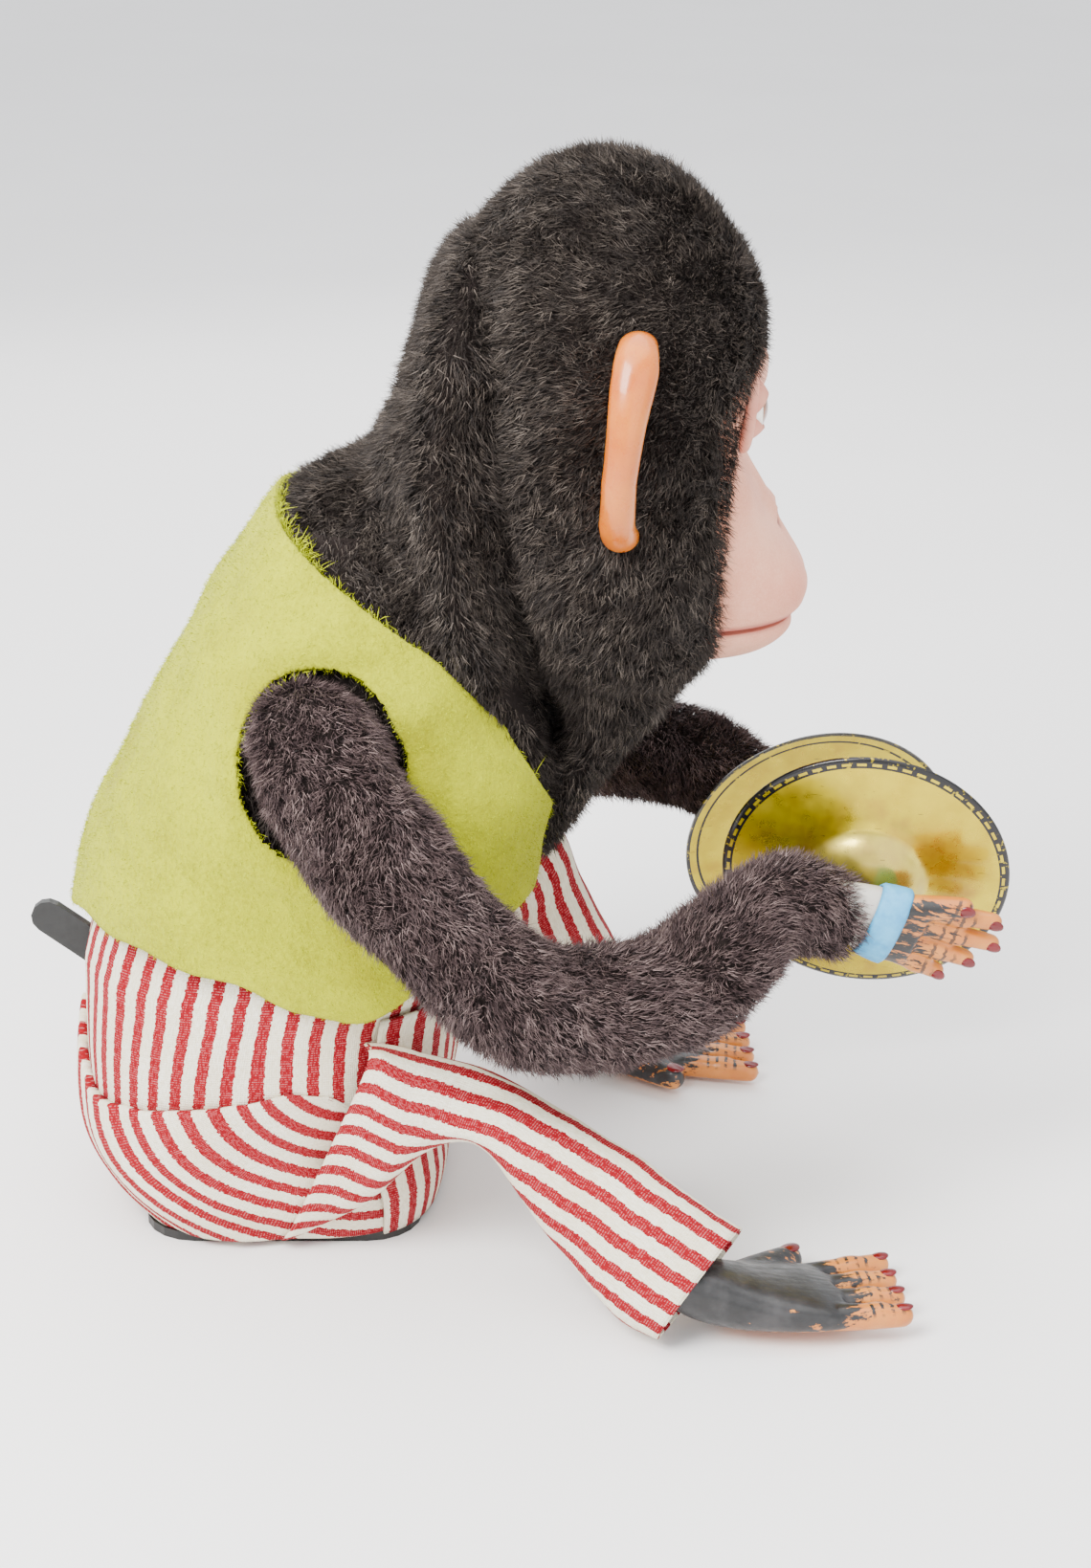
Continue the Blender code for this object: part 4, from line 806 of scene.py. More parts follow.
def build_vest():
    columns, rows = 300, 96
    start = math.radians(270 - 18)
    end = math.radians(-90 + 18)
    angles, arc = even_angles(start, end, columns, 112)
    neck_y, neck_z = np.array(NECKLINE).T
    hem_arc, hem_z = np.array(HEM).T
    from_back = np.abs(arc - arc[-1] / 2)

    heights = np.linspace(60, 192, 400)
    high = []
    for angle in angles:
        line = body_point(np.full(400, angle), heights)
        over = line[:, 2] > np.interp(line[:, 1], neck_y, neck_z)
        high.append(heights[np.argmax(over)] if over.any() else heights[-1])
    low, high = catmull_lookup(from_back, hem_arc, hem_z), np.array(high)
    low += 0.7 * np.sin(arc / 9.0) + 0.5 * np.sin(arc / 3.7 + 1)

    part = np.linspace(0, 1, rows)[:, None]
    z = low + (high - low) * part
    turned = np.broadcast_to(angles, z.shape)
    down = 1 - part
    wave = np.sin(arc / 11.0 + 0.6) * 0.9 + np.sin(arc / 5.9) * 0.4
    out = 0.5 + 1.3 * down ** 2 + wave * down ** 3
    out = out + 0.9 * np.exp(-((z - 112) / 9) ** 2) * np.sin(arc / 14.0)
    points = body_point(turned, z, out).reshape(-1, 3)
    y0, z0, deep, tall = ARMHOLE

    def rim(p):
        return np.sqrt(((p[:, 1] - y0) / deep) ** 2 + ((p[:, 2] - z0) / tall) ** 2)

    def inside(p):
        return (rim(p) < 1) & (np.abs(p[:, 0]) > 30)

    def snap(p):
        reach = rim(p)[:, None]
        moved = p.copy()
        moved[:, 1:] = (y0, z0) + (p[:, 1:] - (y0, z0)) / np.maximum(reach, 0.05)
        return moved

    pucker = np.exp(-((rim(points) - 1.12) / 0.22) ** 2) * (np.abs(points[:, 0]) > 25)
    points[:, 0] += np.sign(points[:, 0]) * pucker * (1.2 + 0.8 * np.sin(points[:, 2] / 3.1))
    points += unit(points * (1, 1, 0) - (0, -10, 0)) * ripple(points, 21, 26, 0.8)[:, None]
    faces = grid_faces(rows, columns)
    top_row = points.reshape(rows, columns, 3)[-1].copy()
    points, faces = open_hole(points, faces, inside, snap)
    vest = mesh_piece("vest_cloth", points, faces, felt_material())
    facing_out(vest)
    thicken(vest, FELT, 1.0)
    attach(vest, "root")
    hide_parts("vest")

    def lying(p):
        return np.stack([0.2 * np.sign(p[:, 0]), 0.3 + 0 * p[:, 1], -0.6 + 0 * p[:, 2]], -1)

    # The first two fibre colours go on the roots: painted shade at the foot of the fuzz.
    felt = fur_materials("felt_fibre", ((130, 136, 0), (150, 158, 0), (170, 178, 4), (190, 198, 14)))
    fuzz = grow_fur("vest_fuzz", [vest], 1.35, 1.25, lying, felt, 22, lift=0.25, width=0.13, stray=0.7)
    random = np.random.default_rng(23)
    rims = []
    for _ in range(1500):
        place = random.uniform(0.03, 0.97) * (columns - 1)
        root = top_row[int(place)] * (1 - place % 1) + top_row[int(place) + 1] * (place % 1)
        rims.append((root, np.array((0, 0.1, 1.0)), random.exponential(0.9) + 0.5))
        if -14 < root[1] < 4 and root[0] < 0 and random.uniform() < 0.55:
            rims.append((root, np.array((-0.5, -0.3, 0.6)), random.uniform(2.0, 6.5)))
    for _ in range(700):
        turn = random.uniform(0, 2 * math.pi)
        sign = random.choice((-1, 1))
        y, z = y0 + deep * math.cos(turn), z0 + tall * math.sin(turn)
        angle = math.atan2(y + 10, sign * 46)
        root = body_point(angle, z, 2.0)
        root = np.array((root[0], y, z))
        rims.append((root, np.array((sign * 0.4, -0.6 * math.cos(turn), -0.6 * math.sin(turn))),
                     random.exponential(0.7) + 0.4))
    points = []
    for root, heading, length in rims:
        heading = unit(heading + random.normal(scale=0.45, size=3))
        curl = unit(heading + random.normal(scale=0.6, size=3))
        flat = unit(np.cross(heading, random.normal(size=3))) * 0.09
        middle = root + heading * length * 0.5
        points += [root - heading * 0.8, middle - flat, middle + flat, middle + curl * length * 0.5]
    faces = [f for i in range(0, len(points), 4) for f in ((i, i + 2, i + 1), (i + 1, i + 2, i + 3))]
    threads = mesh_piece("vest_threads", points, faces, felt[2], smooth=False)
    for piece in (*fuzz, threads):
        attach(piece, "root")


# ---------------------------------------------------------------- trousers
COTTON_FINISH = striped_cotton()


def build_waist():
    columns, rows = 260, 30
    angles, arc = even_angles(math.radians(-90), math.radians(270), columns, 60)
    heights = np.linspace(30, 84, rows)[:, None]
    turned = np.broadcast_to(angles, (rows, columns))
    z = np.broadcast_to(heights, (rows, columns))
    inset = -0.4 - 2.6 * np.clip((z - 66) / 14, 0, 1)
    gathers = 0.35 * np.sin(arc / 2.9 + 0.8 * np.sin(arc / 17)) * np.clip((z - 48) / 20, 0, 1)
    points = body_point(turned, z, inset + gathers).reshape(-1, 3)
    uvs = np.stack([np.broadcast_to(arc, z.shape), z], -1).reshape(-1, 2)
    waist = mesh_piece("trousers_waist", points, grid_faces(rows, columns), COTTON_FINISH, uvs)
    facing_out(waist)
    thicken(waist, COTTON)
    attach(waist, "root")
    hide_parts("trousers")


def fold_height(arc):
    """Height of the fold across the seat, by distance round the body from the middle of the back."""
    return np.interp(np.abs(arc), (0, 12, 26, 48, 70, 82, 92, 102), (50, 43, 38, 39, 43, 46, 44, 36))


def build_seat():
    """Pouch of cloth below the fold, its stripes swinging round the top of each pleat."""
    columns, rows = 240, 56
    angles, arc = even_angles(math.radians(-36), math.radians(216), columns, 30)
    arc = arc - arc[-1] / 2
    top = fold_height(arc) + 1.2 * np.sin(arc / 7.0) * np.exp(-(np.abs(arc) / 60) ** 2)
    part = np.linspace(0, 1, rows)[:, None]
    lip = np.clip(part / 0.05, 0, 1)
    z = top - (top - 2.2) * np.clip((part - 0.03) / 0.83, 0, 1) ** 0.92
    z = z - 1.6 * (1 - lip)
    under = np.clip((part - 0.86) / 0.14, 0, 1)
    side = np.clip((np.abs(arc) - 62) / 28, 0, 1)
    belly = (2.4 - 2.6 * side) * np.sin(np.pi * np.clip(part / 0.9, 0, 1)) ** 0.7
    out = -0.6 + (2.0 - 1.2 * side) * lip ** 0.5 + belly - 9 * under ** 1.4
    crease = np.zeros_like(z)
    for turn, deep in ((0.35, 0.8), (0.62, 1.0), (0.8, 0.7)):
        reach = np.hypot(np.abs(arc) - 100, (z - 54) * 1.1)
        crease += deep * np.exp(-((reach - 100 * turn) / 3.2) ** 2) * np.clip(np.abs(arc) / 30, 0, 1)
    out = out - crease
    z = np.where(under > 0, 2.2 - 0.8 * under, z)
    points = body_point(np.broadcast_to(angles, z.shape), z, out).reshape(-1, 3)
    pivot_arc = 101
    reach = np.hypot(np.abs(arc) - pivot_arc, (z - 56) * 1.12 - 9 * under)
    swing = np.arctan2((z - 56), pivot_arc - np.abs(arc) + 1e-3) * 60
    uvs = np.stack([reach, np.broadcast_to(swing, z.shape)], -1).reshape(-1, 2)
    seat = mesh_piece("trousers_seat", points, grid_faces(rows, columns), COTTON_FINISH, uvs)
    facing_out(seat)
    thicken(seat, COTTON)
    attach(seat, "root")


# Leg sections: centre, half-height axis and half-depth axis (all x, y, z).
LEG_RIGHT = (
    ((-40.5, -13, 30), (-3.5, -11.0, 26), (-4.5, -2, 1)),
    ((-41.5, -11, 29), (-3.5, -11.5, 27.5), (-7.6, -2, 1)),
    ((-42.5, -17, 31.5), (-4.5, -9.0, 26), (-9, -2, 1)),
    ((-44.5, -28, 36), (-3.5, -5.0, 20), (-10, 0, -1)),
    ((-46.5, -39, 41.5), (-2, -2.0, 12), (-10, 3, 0)),
    ((-49.5, -49, 43.2), (-1, -1.5, 8.2), (-8.5, 4, 0)),
    ((-55, -58, 40.2), (-0.5, -3.5, 8.4), (-8.0, 4, 1.5)),
    ((-61.5, -67.5, 34), (0, -5.5, 10.6), (-8.2, 3.7, 2.1)),
    ((-69, -79, 25.6), (1, -7, 13.2), (-8.5, 3.7, 2.1)),
    ((-75.5, -89.5, 18.6), (2.5, -8.5, 13.2), (-8.8, 3.7, 2.1)),
    ((-80, -100, 13.8), (4, -9, 11.6), (-9.2, 3.6, 2)),
)
LEG_LEFT = (
    ((36.5, -13, 32), (3.5, -10.5, 27), (4.5, -2, 1)),
    ((37.5, -12, 31), (3, -11.0, 28.5), (7.6, -2, 1)),
    ((39, -24, 43), (2, -8.0, 27), (9, -1, 1)),
    ((41, -38, 54), (1, -5.0, 20), (10, 0, 0)),
    ((43, -50, 61.5), (0, -4.0, 14.5), (10, 0, 0)),
    ((46, -60, 61.5), (0, -6.5, 12.5), (10, 0, 0)),
    ((49.5, -66, 50.5), (0, -9.0, 5), (10, 0, 2)),
    ((52.5, -70, 38.5), (0, -11.0, 3), (10.5, 0, 2)),
    ((55.5, -74, 26), (0, -12.5, 1.5), (11, 0, 2)),
    ((58.5, -76, 14.5), (0, -12.5, 0), (11.5, 0, 2)),
)


def build_leg(side, sections, seed):
    """Trouser leg: its first section is tucked under the second, which makes the fold over the seat."""
    sides, steps = 97, 8
    rows = catmull([np.concatenate(section) for section in sections], steps)
    angles = np.linspace(-math.pi, math.pi, sides)
    rings = []
    for row, power in zip(rows, np.interp(np.arange(len(rows)), (0, 10, 26), (4.5, 4.5, 2.3))):
        tall, deep = rounded(np.cos(angles), power), rounded(np.sin(angles), power)
        rings.append(row[:3] + tall[:, None] * row[3:6] + deep[:, None] * row[6:9])
    rings = np.array(rings)
    count = len(rings)
    middle = rows[:, None, :3]
    row = np.arange(count)[:, None]
    knee = np.exp(-((row - count * 0.50) / 7) ** 2)
    shin = np.clip((row - count * 0.5) / (count * 0.2), 0, 1)
    pinch = knee * (0.09 * np.cos(3 * angles + 0.5) + 0.05 * np.cos(7 * angles))
    twist = 0.10 * shin * np.exp(-((angles - 1.9 + 0.8 * (row / count)) / 0.28) ** 2)
    rings = middle + (rings - middle) * (1 + pinch - twist)[..., None]
    flat = rings.reshape(-1, 3)
    flat += unit(flat - np.repeat(middle[:, 0], sides, 0)) * ripple(flat, seed, 20, 0.5)[:, None]
    rings[:, -1] = rings[:, 0]
    steps_round = np.linalg.norm(np.diff(rings, axis=1), axis=2)
    arc = np.concatenate([np.zeros((count, 1)), np.cumsum(steps_round, 1)], 1)
    arc = arc - arc[:, sides // 2:sides // 2 + 1]
    along = np.concatenate([[0], np.cumsum(np.linalg.norm(np.diff(middle[:, 0], axis=0), axis=1))])
    uvs = np.stack([arc + 2.4, np.broadcast_to(along[:, None], arc.shape)], -1).reshape(-1, 2)
    leg = mesh_piece("trouser_leg_" + side + "_cloth", flat, grid_faces(count, sides), COTTON_FINISH, uvs)
    facing_out(leg)
    thicken(leg, COTTON)
    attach(leg, "root")
    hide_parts("trouser_leg_" + side)


def build_front():
    """Striped cloth between the legs."""
    columns, rows = 110, 30
    angles, arc = even_angles(math.radians(-150), math.radians(-30), columns, 30)
    z = np.broadcast_to(np.linspace(1.8, 62, rows)[:, None], (rows, columns))
    belly = 0.8 + 1.6 * np.sin(np.pi * (z - 2) / 62) + 0.5 * np.sin(arc / 6.0) * (z / 60)
    points = body_point(np.broadcast_to(angles, z.shape), z, belly).reshape(-1, 3)
    uvs = np.stack([np.broadcast_to(arc, z.shape), z], -1).reshape(-1, 2)
    front = mesh_piece("trousers_front", points, grid_faces(rows, columns), COTTON_FINISH, uvs)
    facing_out(front)
    thicken(front, COTTON)
    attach(front, "root")


# ---------------------------------------------------------------- face
def face_rings(table, sides, steps, back=4.0):
    angles = np.arange(sides) * 2 * math.pi / sides
    rings = []
    for height, front, half in catmull(table, steps):
        depth = FACE_CENTRE - front
        lift = np.sin(angles)
        reach = np.where(lift < 0, depth * lift, back * lift)
        x = half * np.sign(np.cos(angles)) * np.abs(np.cos(angles)) ** 0.85
        rings.append(np.stack([x, FACE_CENTRE + reach, np.full(sides, height)], -1))
    return np.array(rings)


def bump_at(points, centre, size, amount):
    """Push the front of a face by a smooth bump centred on (x, z); size is its half width and half height."""
    x, z = centre
    reach = ((points[:, 0] - x) / size[0]) ** 2 + ((points[:, 2] - z) / size[1]) ** 2
    points[:, 1] -= amount * np.exp(-reach) * (points[:, 1] < FACE_CENTRE - 2)


def build_face():
    flock = flock_material()
    rings = face_rings(MASK, 120, 8)
    points = rings.reshape(-1, 3)
    for sign in (-1, 1):
        bump_at(points, (sign * 13.5, 202.5), (10.5, 9.5), -3.4)
        bump_at(points, (sign * 12.5, 212.5), (11, 2.8), 1.8)
        bump_at(points, (sign * 20.0, 184), (8, 9), 1.2)
        bump_at(points, (sign * 4.8, 176.2), (3.4, 3.2), 1.8)
        bump_at(points, (sign * 4.4, 173.2), (1.7, 1.4), -1.8)
        bump_at(points, (sign * 12, 160), (9, 7), 0.8)
    bump_at(points, (0, 181), (4.2, 8), 1.5)
    bump_at(points, (0, 160), (1.4, 8), -0.7)
    mask = facing_out(tube("face_mask_flocked", rings, flock))
    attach(mask, "head")
    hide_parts("face_mask")

    chin = face_rings(JAW, 100, 8, 1.0)
    jaw = facing_out(tube("jaw_flocked", chin, flock))
    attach(jaw, "jaw")
    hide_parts("jaw")


LID_RADIUS = 7.95


def eye_material():
    """Glass eye: white ball, brown iris and black pupil by distance from the eye's own forward axis."""
    s = Shader("glass_eye", Roughness=0.06, Coat_Weight=0.6, Coat_Roughness=0.03)
    p = s.place()
    x, y, z = s.split(p)
    off = s.math("SQRT", s.plus(s.times(x, x), s.times(z, z)))
    white = s.mix(s.spread(s.noise(p, 2.0), 0.4, 0.7), srgb(236, 230, 216), srgb(246, 242, 232))
    fibre = s.noise(s.stretch(p, (3, 0.3, 3)), 2.0)
    iris = s.mix(fibre, srgb(92, 48, 18), srgb(150, 88, 36))
    colour = s.mix(s.spread(off, 4.5, 4.2), white, iris)
    colour = s.mix(s.spread(off, 2.4, 2.15), colour, srgb(8, 7, 7))
    ahead = s.math("LESS_THAN", y, 0.0)
    s.paint(s.mix(ahead, white, colour))
    return s.material


def build_eyes():
    glass = eye_material()
    lid = plain_material("eyelid_paint", srgb(214, 150, 128), srgb(196, 126, 106), 0.7, relief=0.3)
    for side, sign in (("right", -1), ("left", 1)):
        low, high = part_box("eye_" + side)
        centre = Vector(((low.x + high.x) / 2, low.y + 7.4 * MM, (low.z + high.z) / 2))
        build_eyeball(side, centre, glass)
        build_lids(side, centre, lid)
        build_socket(side, sign, lid)


def build_eyeball(side, centre, finish):
    data = bmesh.new()
    bmesh.ops.create_uvsphere(data, u_segments=48, v_segments=32, radius=7.45 * MM)
    mesh = bpy.data.meshes.new("eye_glass_" + side)
    data.to_mesh(mesh)
    data.free()
    mesh.shade_smooth()
    mesh.materials.append(finish)
    eye = bpy.data.objects.new("eye_glass_" + side, mesh)
    bpy.context.scene.collection.objects.link(eye)
    eye.location = centre
    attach(eye, "eyes")
    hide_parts("eye_" + side)


def build_lids(side, centre, finish):
    """Upper and lower lid, each part of a ball round the eye that is open in front."""
    points, faces = [], []
    for opening, end in ((28, 120), (-30, -120)):
        base = len(points)
        turns = np.linspace(-88, 88, 40)
        edge = -4 + opening * np.clip(1 - (turns / 62) ** 2, 0, 1) ** 0.75
        for part in np.linspace(0, 1, 16):
            for turn, rise in zip(np.radians(turns), np.radians(edge * (1 - part) + end * part)):
                points.append((LID_RADIUS * math.sin(turn), -LID_RADIUS * math.cos(turn) * math.cos(rise),
                               LID_RADIUS * math.cos(turn) * math.sin(rise)))
        faces += shifted(grid_faces(16, 40), base)
    lids = mesh_piece("eyelids_" + side, points, faces, finish, place=Matrix.Translation(centre))
    facing_out(lids)
    thicken(lids, 0.5, 0.0)
    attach(lids, "eyes")


def build_socket(side, sign, finish):
    """Soft ring of the face round an eye."""
    turn = np.arange(14) * 2 * math.pi / 14
    rings = []
    for a in np.linspace(0, 2 * math.pi, 65):
        spread = 9.4 + 1.5 * np.cos(turn)
        x = sign * 13.5 + spread * math.cos(a)
        y = -110.2 + 1.5 * np.sin(turn) - 1.0 * math.sin(a)
        rings.append(np.stack([x, y, 202.5 + spread * 0.96 * math.sin(a)], -1))
    rim = facing_out(tube("eye_socket_" + side, rings, finish, False, False))
    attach(rim, "head")


def build_ears():
    """Moulded ears: a rolled rim round a dished flap; seen from the side the rim makes a shallow S."""
    finish = ear_material()
    for side, sign in (("right", -1), ("left", 1)):
        rows, columns = 56, 28
        across = np.arange(columns) * 2 * math.pi / columns
        rings, spine, root = [], [], []
        for step in range(rows):
            part = step / (rows - 1)
            turn = math.pi * (0.03 + 0.94 * part)
            thick = (3.75 + 1.25 * math.exp(-((part - 0.2) / 0.2) ** 2)
                     + 0.25 * math.exp(-((part - 0.9) / 0.15) ** 2))
            wide = 3.3 + 0.5 * math.sin(turn)
            x = 44.0 + 12.5 * math.sin(turn) ** 0.75
            z = 203.0 + 21.5 * math.cos(turn) * (1.0 if part < 0.5 else 0.98)
            y = np.interp(part, (0, 0.2, 0.4, 0.6, 0.8, 1), (-84.4, -83.6, -81.8, -80.3, -80.0, -81.2))
            spine.append((sign * x, y, z))
            root.append((sign * 38.0, -82.0, 203.0 + 15.0 * math.cos(turn)))
            away = np.array((sign * math.sin(turn), 0, math.cos(turn)))
            rings.append(np.array((sign * x, y, z)) + np.cos(across)[:, None] * away * wide
                         + np.sin(across)[:, None] * np.array((0, thick, 0)))
        rim = facing_out(tube(f"ear_{side}_rim", rings, finish))
        spine, root = np.array(spine), np.array(root)
        flap = []
        for part in np.linspace(0, 1, 12):
            dish = 3.2 * math.sin(math.pi * min(part * 1.3, 1.0)) * np.sin(np.linspace(0, math.pi, rows))
            row = spine * (1 - part) + root * part
            row[:, 1] += dish
            flap.append(row)
        dished = mesh_piece(f"ear_{side}_flap", np.array(flap), grid_faces(12, rows), finish)
        facing_out(dished)
        thicken(dished, 1.6, 0.0)
        for piece in (rim, dished):
            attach(piece, "head")
        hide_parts("ear_" + side)


# ---------------------------------------------------------------- cymbals, hands and feet
def cymbal_place(side):
    """Own z is the cymbal's outward normal and own x runs forward; the middle is listed for each side."""
    sign = -1 if side == "right" else 1
    level = Vector((sign * math.cos(CYMBAL_YAW), math.sin(CYMBAL_YAW), 0))
    outward_axis = level * math.cos(CYMBAL_TILT) + Vector((0, 0, sign)) * math.sin(CYMBAL_TILT)
    forward = Vector((0, -1, 0))
    forward = (forward - outward_axis * forward.dot(outward_axis)).normalized()
    up = outward_axis.cross(forward)
    centre = {"right": (-22.0, -140.5, 91.0), "left": (22.0, -133.5, 81.0)}[side]
    axes = Matrix((forward, up, outward_axis)).transposed().to_4x4()
    return Matrix.Translation(Vector(centre) * MM) @ axes


def build_cymbal(side, finish):
    profile = [(1.8, 8.55), (5, 8.35), (8.5, 7.6), (11.5, 6.0), (13.2, 4.2), (14.2, 3.0), (15.4, 2.45),
               (18, 2.1), (24, 1.35), (30, 0.55), (32.8, 0.15), (33.7, -0.1), (34.0, -0.45)]
    profile += [(r - 0.05, h - 0.6) for r, h in reversed(profile)]
    angles = np.arange(128) * 2 * math.pi / 128
    rings = []
    for radius, height in [*profile, profile[0]]:
        rings.append(np.stack([radius * np.cos(angles), radius * np.sin(angles), np.full(128, height)], -1))
    place = cymbal_place(side)
    disc = facing_out(tube("cymbal_printed_" + side, rings, finish, False, False, place=place))
    disc.data.set_sharp_from_angle(angle=math.radians(50))
    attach(disc, side + "_arm")
    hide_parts("cymbal_" + side)


def capsule_rings(start, end, radii, sides=20, steps=5):
    """Rounded, slightly waisted bar between two points."""
    start, end = np.array(start, float), np.array(end, float)
    along = unit(end - start)
    side = unit(np.cross(along, (0.3, 0.1, 1.0)))
    up = np.cross(along, side)
    angles = np.arange(sides) * 2 * math.pi / sides
    rings = []
    for turn in np.linspace(-math.pi / 2 + 0.15, 0, steps):
        rings.append((start + along * radii[0] * math.sin(turn), radii[0] * math.cos(turn)))
    for part in (0.33, 0.66):
        rings.append((start + (end - start) * part, (radii[0] * (1 - part) + radii[1] * part) * 1.03))
    for turn in np.linspace(0, math.pi / 2 - 0.15, steps):
        rings.append((end + along * radii[1] * math.sin(turn), radii[1] * math.cos(turn)))
    return [centre + radius * (np.cos(angles)[:, None] * side + np.sin(angles)[:, None] * up)
            for centre, radius in rings]


def fuse(name, parts, voxel, finish, place):
    """One smooth skin round several overlapping closed parts."""
    points, faces = [], []
    for rings in parts:
        rings = np.asarray(rings, float)
        base, (rows, columns) = len(points), rings.shape[:2]
        points += list(rings.reshape(-1, 3))
        faces += shifted(grid_faces(rows, columns, True), base)
        for row in (0, rows - 1):
            centre = len(points)
            points.append(rings[row].mean(0))
            faces += [(base + row * columns + c, base + row * columns + (c + 1) % columns, centre)
                      for c in range(columns)]
    piece = mesh_piece(name, points, faces, finish, place=place)
    facing_out(piece)
    remesh = piece.modifiers.new("skin", "REMESH")
    remesh.mode = "VOXEL"
    remesh.voxel_size = voxel * MM
    remesh.use_smooth_shade = True
    soft = piece.modifiers.new("soft", "SMOOTH")
    soft.factor = 0.6
    soft.iterations = 5
    bake_modifiers(piece)
    piece.data.shade_smooth()
    if not piece.data.materials:
        piece.data.materials.append(finish)
    return piece


def nails(name, spots, finish, place, side_body):
    """Domed nails: each spot is a centre, a pointing direction and half width."""
    points, faces = [], []
    for centre, direction, lift_axis, half in spots:
        centre, direction, lift_axis = (np.array(v, float) for v in (centre, direction, lift_axis))
        direction = unit(direction)
        lift_axis = unit(lift_axis - direction * lift_axis.dot(direction))
        across = np.cross(direction, lift_axis)
        base = len(points)
        rows, columns = 6, 16
        for row in range(rows):
            polar = math.pi / 2 * row / (rows - 1)
            for column in range(columns):
                a = 2 * math.pi * column / columns
                flat = half * math.sin(polar) * (math.cos(a) * direction * 1.25 + math.sin(a) * across)
                droop = lift_axis * 0.35 * (math.sin(polar) * math.sin(a)) ** 2
                points.append(centre + flat + lift_axis * 0.55 * math.cos(polar) - droop)
        faces += shifted(grid_faces(rows, columns, True), base)
    made = mesh_piece(name, points, faces, finish, place=place)
    facing_out(made, weld=True)
    thicken(made, 0.4)
    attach(made, side_body)


def hand_material(side):
    s, p, tan, ink = painted_vinyl("hand_paint_" + side)
    x, _, z = s.split(p)
    streak = s.noise(s.stretch(p, (0.5, 2.2, 1.0)), 2.4, 4, 0.65)
    cover = s.plus(s.spread(x, 9, 25, 0.13, 0.0),
                   s.spread(z, PALM_HEIGHT - 1, PALM_HEIGHT + 2, -0.35, 0.02))
    paint = s.spread(s.plus(streak, cover), 0.56, 0.62)
    line = s.math("FRACT", s.times(s.plus(x, s.times(streak, 2.0)), 0.36))
    knuckle = s.times(s.math("LESS_THAN", line, 0.3), s.math("COMPARE", x, 21.5, 4.0))
    knuckle = s.times(knuckle, s.spread(z, PALM_HEIGHT + 0.2, PALM_HEIGHT + 1.0))
    wrist = s.spread(x, 5.0, 2.5)
    body = s.mix(s.math("MAXIMUM", paint, s.times(knuckle, 0.85)), tan, ink)
    s.paint(s.mix(wrist, body, srgb(186, 182, 174)))
    s.rough(s.spread(streak, 0.35, 0.65, 0.32, 0.55))
    s.bump(s.noise(p, 1.3, 3), 0.25, 0.3)
    return s.material


def palm_ring(along, grow=0.0, sides=28):
    half_wide = np.interp(along, [r[0] for r in PALM], [r[1] for r in PALM]) + grow
    half_thick = np.interp(along, [r[0] for r in PALM], [r[2] for r in PALM]) + grow
    angles = np.arange(sides) * 2 * math.pi / sides
    lift = PALM_HEIGHT + half_thick * np.sin(angles)
    return np.stack([np.full(sides, along), half_wide * np.cos(angles), lift], -1)


def build_hand(side, nail_finish, strap_finish):
    flip = 1 if side == "right" else -1
    place = cymbal_place(side) @ Matrix.Rotation(-HAND_DROOP * flip, 4, "Z")
    parts = [[palm_ring(x) for x in (-16, -12, -8, -4, 0, 4, 8, 11, 14)]]
    spots = []
    for offset, reach, spread in FINGERS:
        start, end = (11, offset * flip, PALM_HEIGHT), (reach, (offset + spread) * flip, PALM_HEIGHT - 1.6)
        parts.append(capsule_rings(start, end, (2.7, 2.1)))
        parts.append(capsule_rings(np.array(start) * 0.45 + np.array(end) * 0.55 - (1.2, 0, 0),
                                   np.array(start) * 0.45 + np.array(end) * 0.55 + (1.2, 0, 0), (2.75, 2.7)))
        spots.append(((end[0] + 0.6, end[1], end[2] + 1.75), np.subtract(end, start), (0, 0, 1), 1.5))
    thumb = ((8, 6.5 * flip, PALM_HEIGHT + 0.5), (20.5, 12.2 * flip, PALM_HEIGHT + 0.3))
    parts.append(capsule_rings(*thumb, (3.3, 2.4)))
    spots.append(((21.2, 12.4 * flip, PALM_HEIGHT + 2.3), (12.5, 5.7 * flip, 0), (0, 0, 1), 1.7))
    hand = fuse("hand_vinyl_" + side, parts, 0.55, hand_material(side), place)
    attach(hand, side + "_arm")
    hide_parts("hand_" + side)
    nails("hand_nails_" + side, spots, nail_finish, place, side + "_arm")
    stations = (1.4, 2.2, 4.4, 6.6, 8.2, 8.9)
    grow = (0.5, 1.1, 1.2, 1.2, 1.1, 0.5)
    rings = [palm_ring(x, g, 48) for x, g in zip(stations, grow)]
    strap = facing_out(tube("wrist_strap_" + side + "_cloth", rings, strap_finish, False, False, place=place))
    thicken(strap, 0.5)
    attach(strap, side + "_arm")
    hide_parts("wrist_strap_" + side)


# Sections of a foot from heel to toes: distance, half width, underside, top.
FOOT = (
    (9, 6.0, 8, 18.5), (5, 7.6, 5, 18.5), (0, 8.8, 2.6, 17.4), (-8, 11.2, 0.6, 14.4), (-18, 13.8, 0, 11.2),
    (-26, 15.0, 0, 9.2), (-31.5, 14.0, 0.3, 7.4),
)


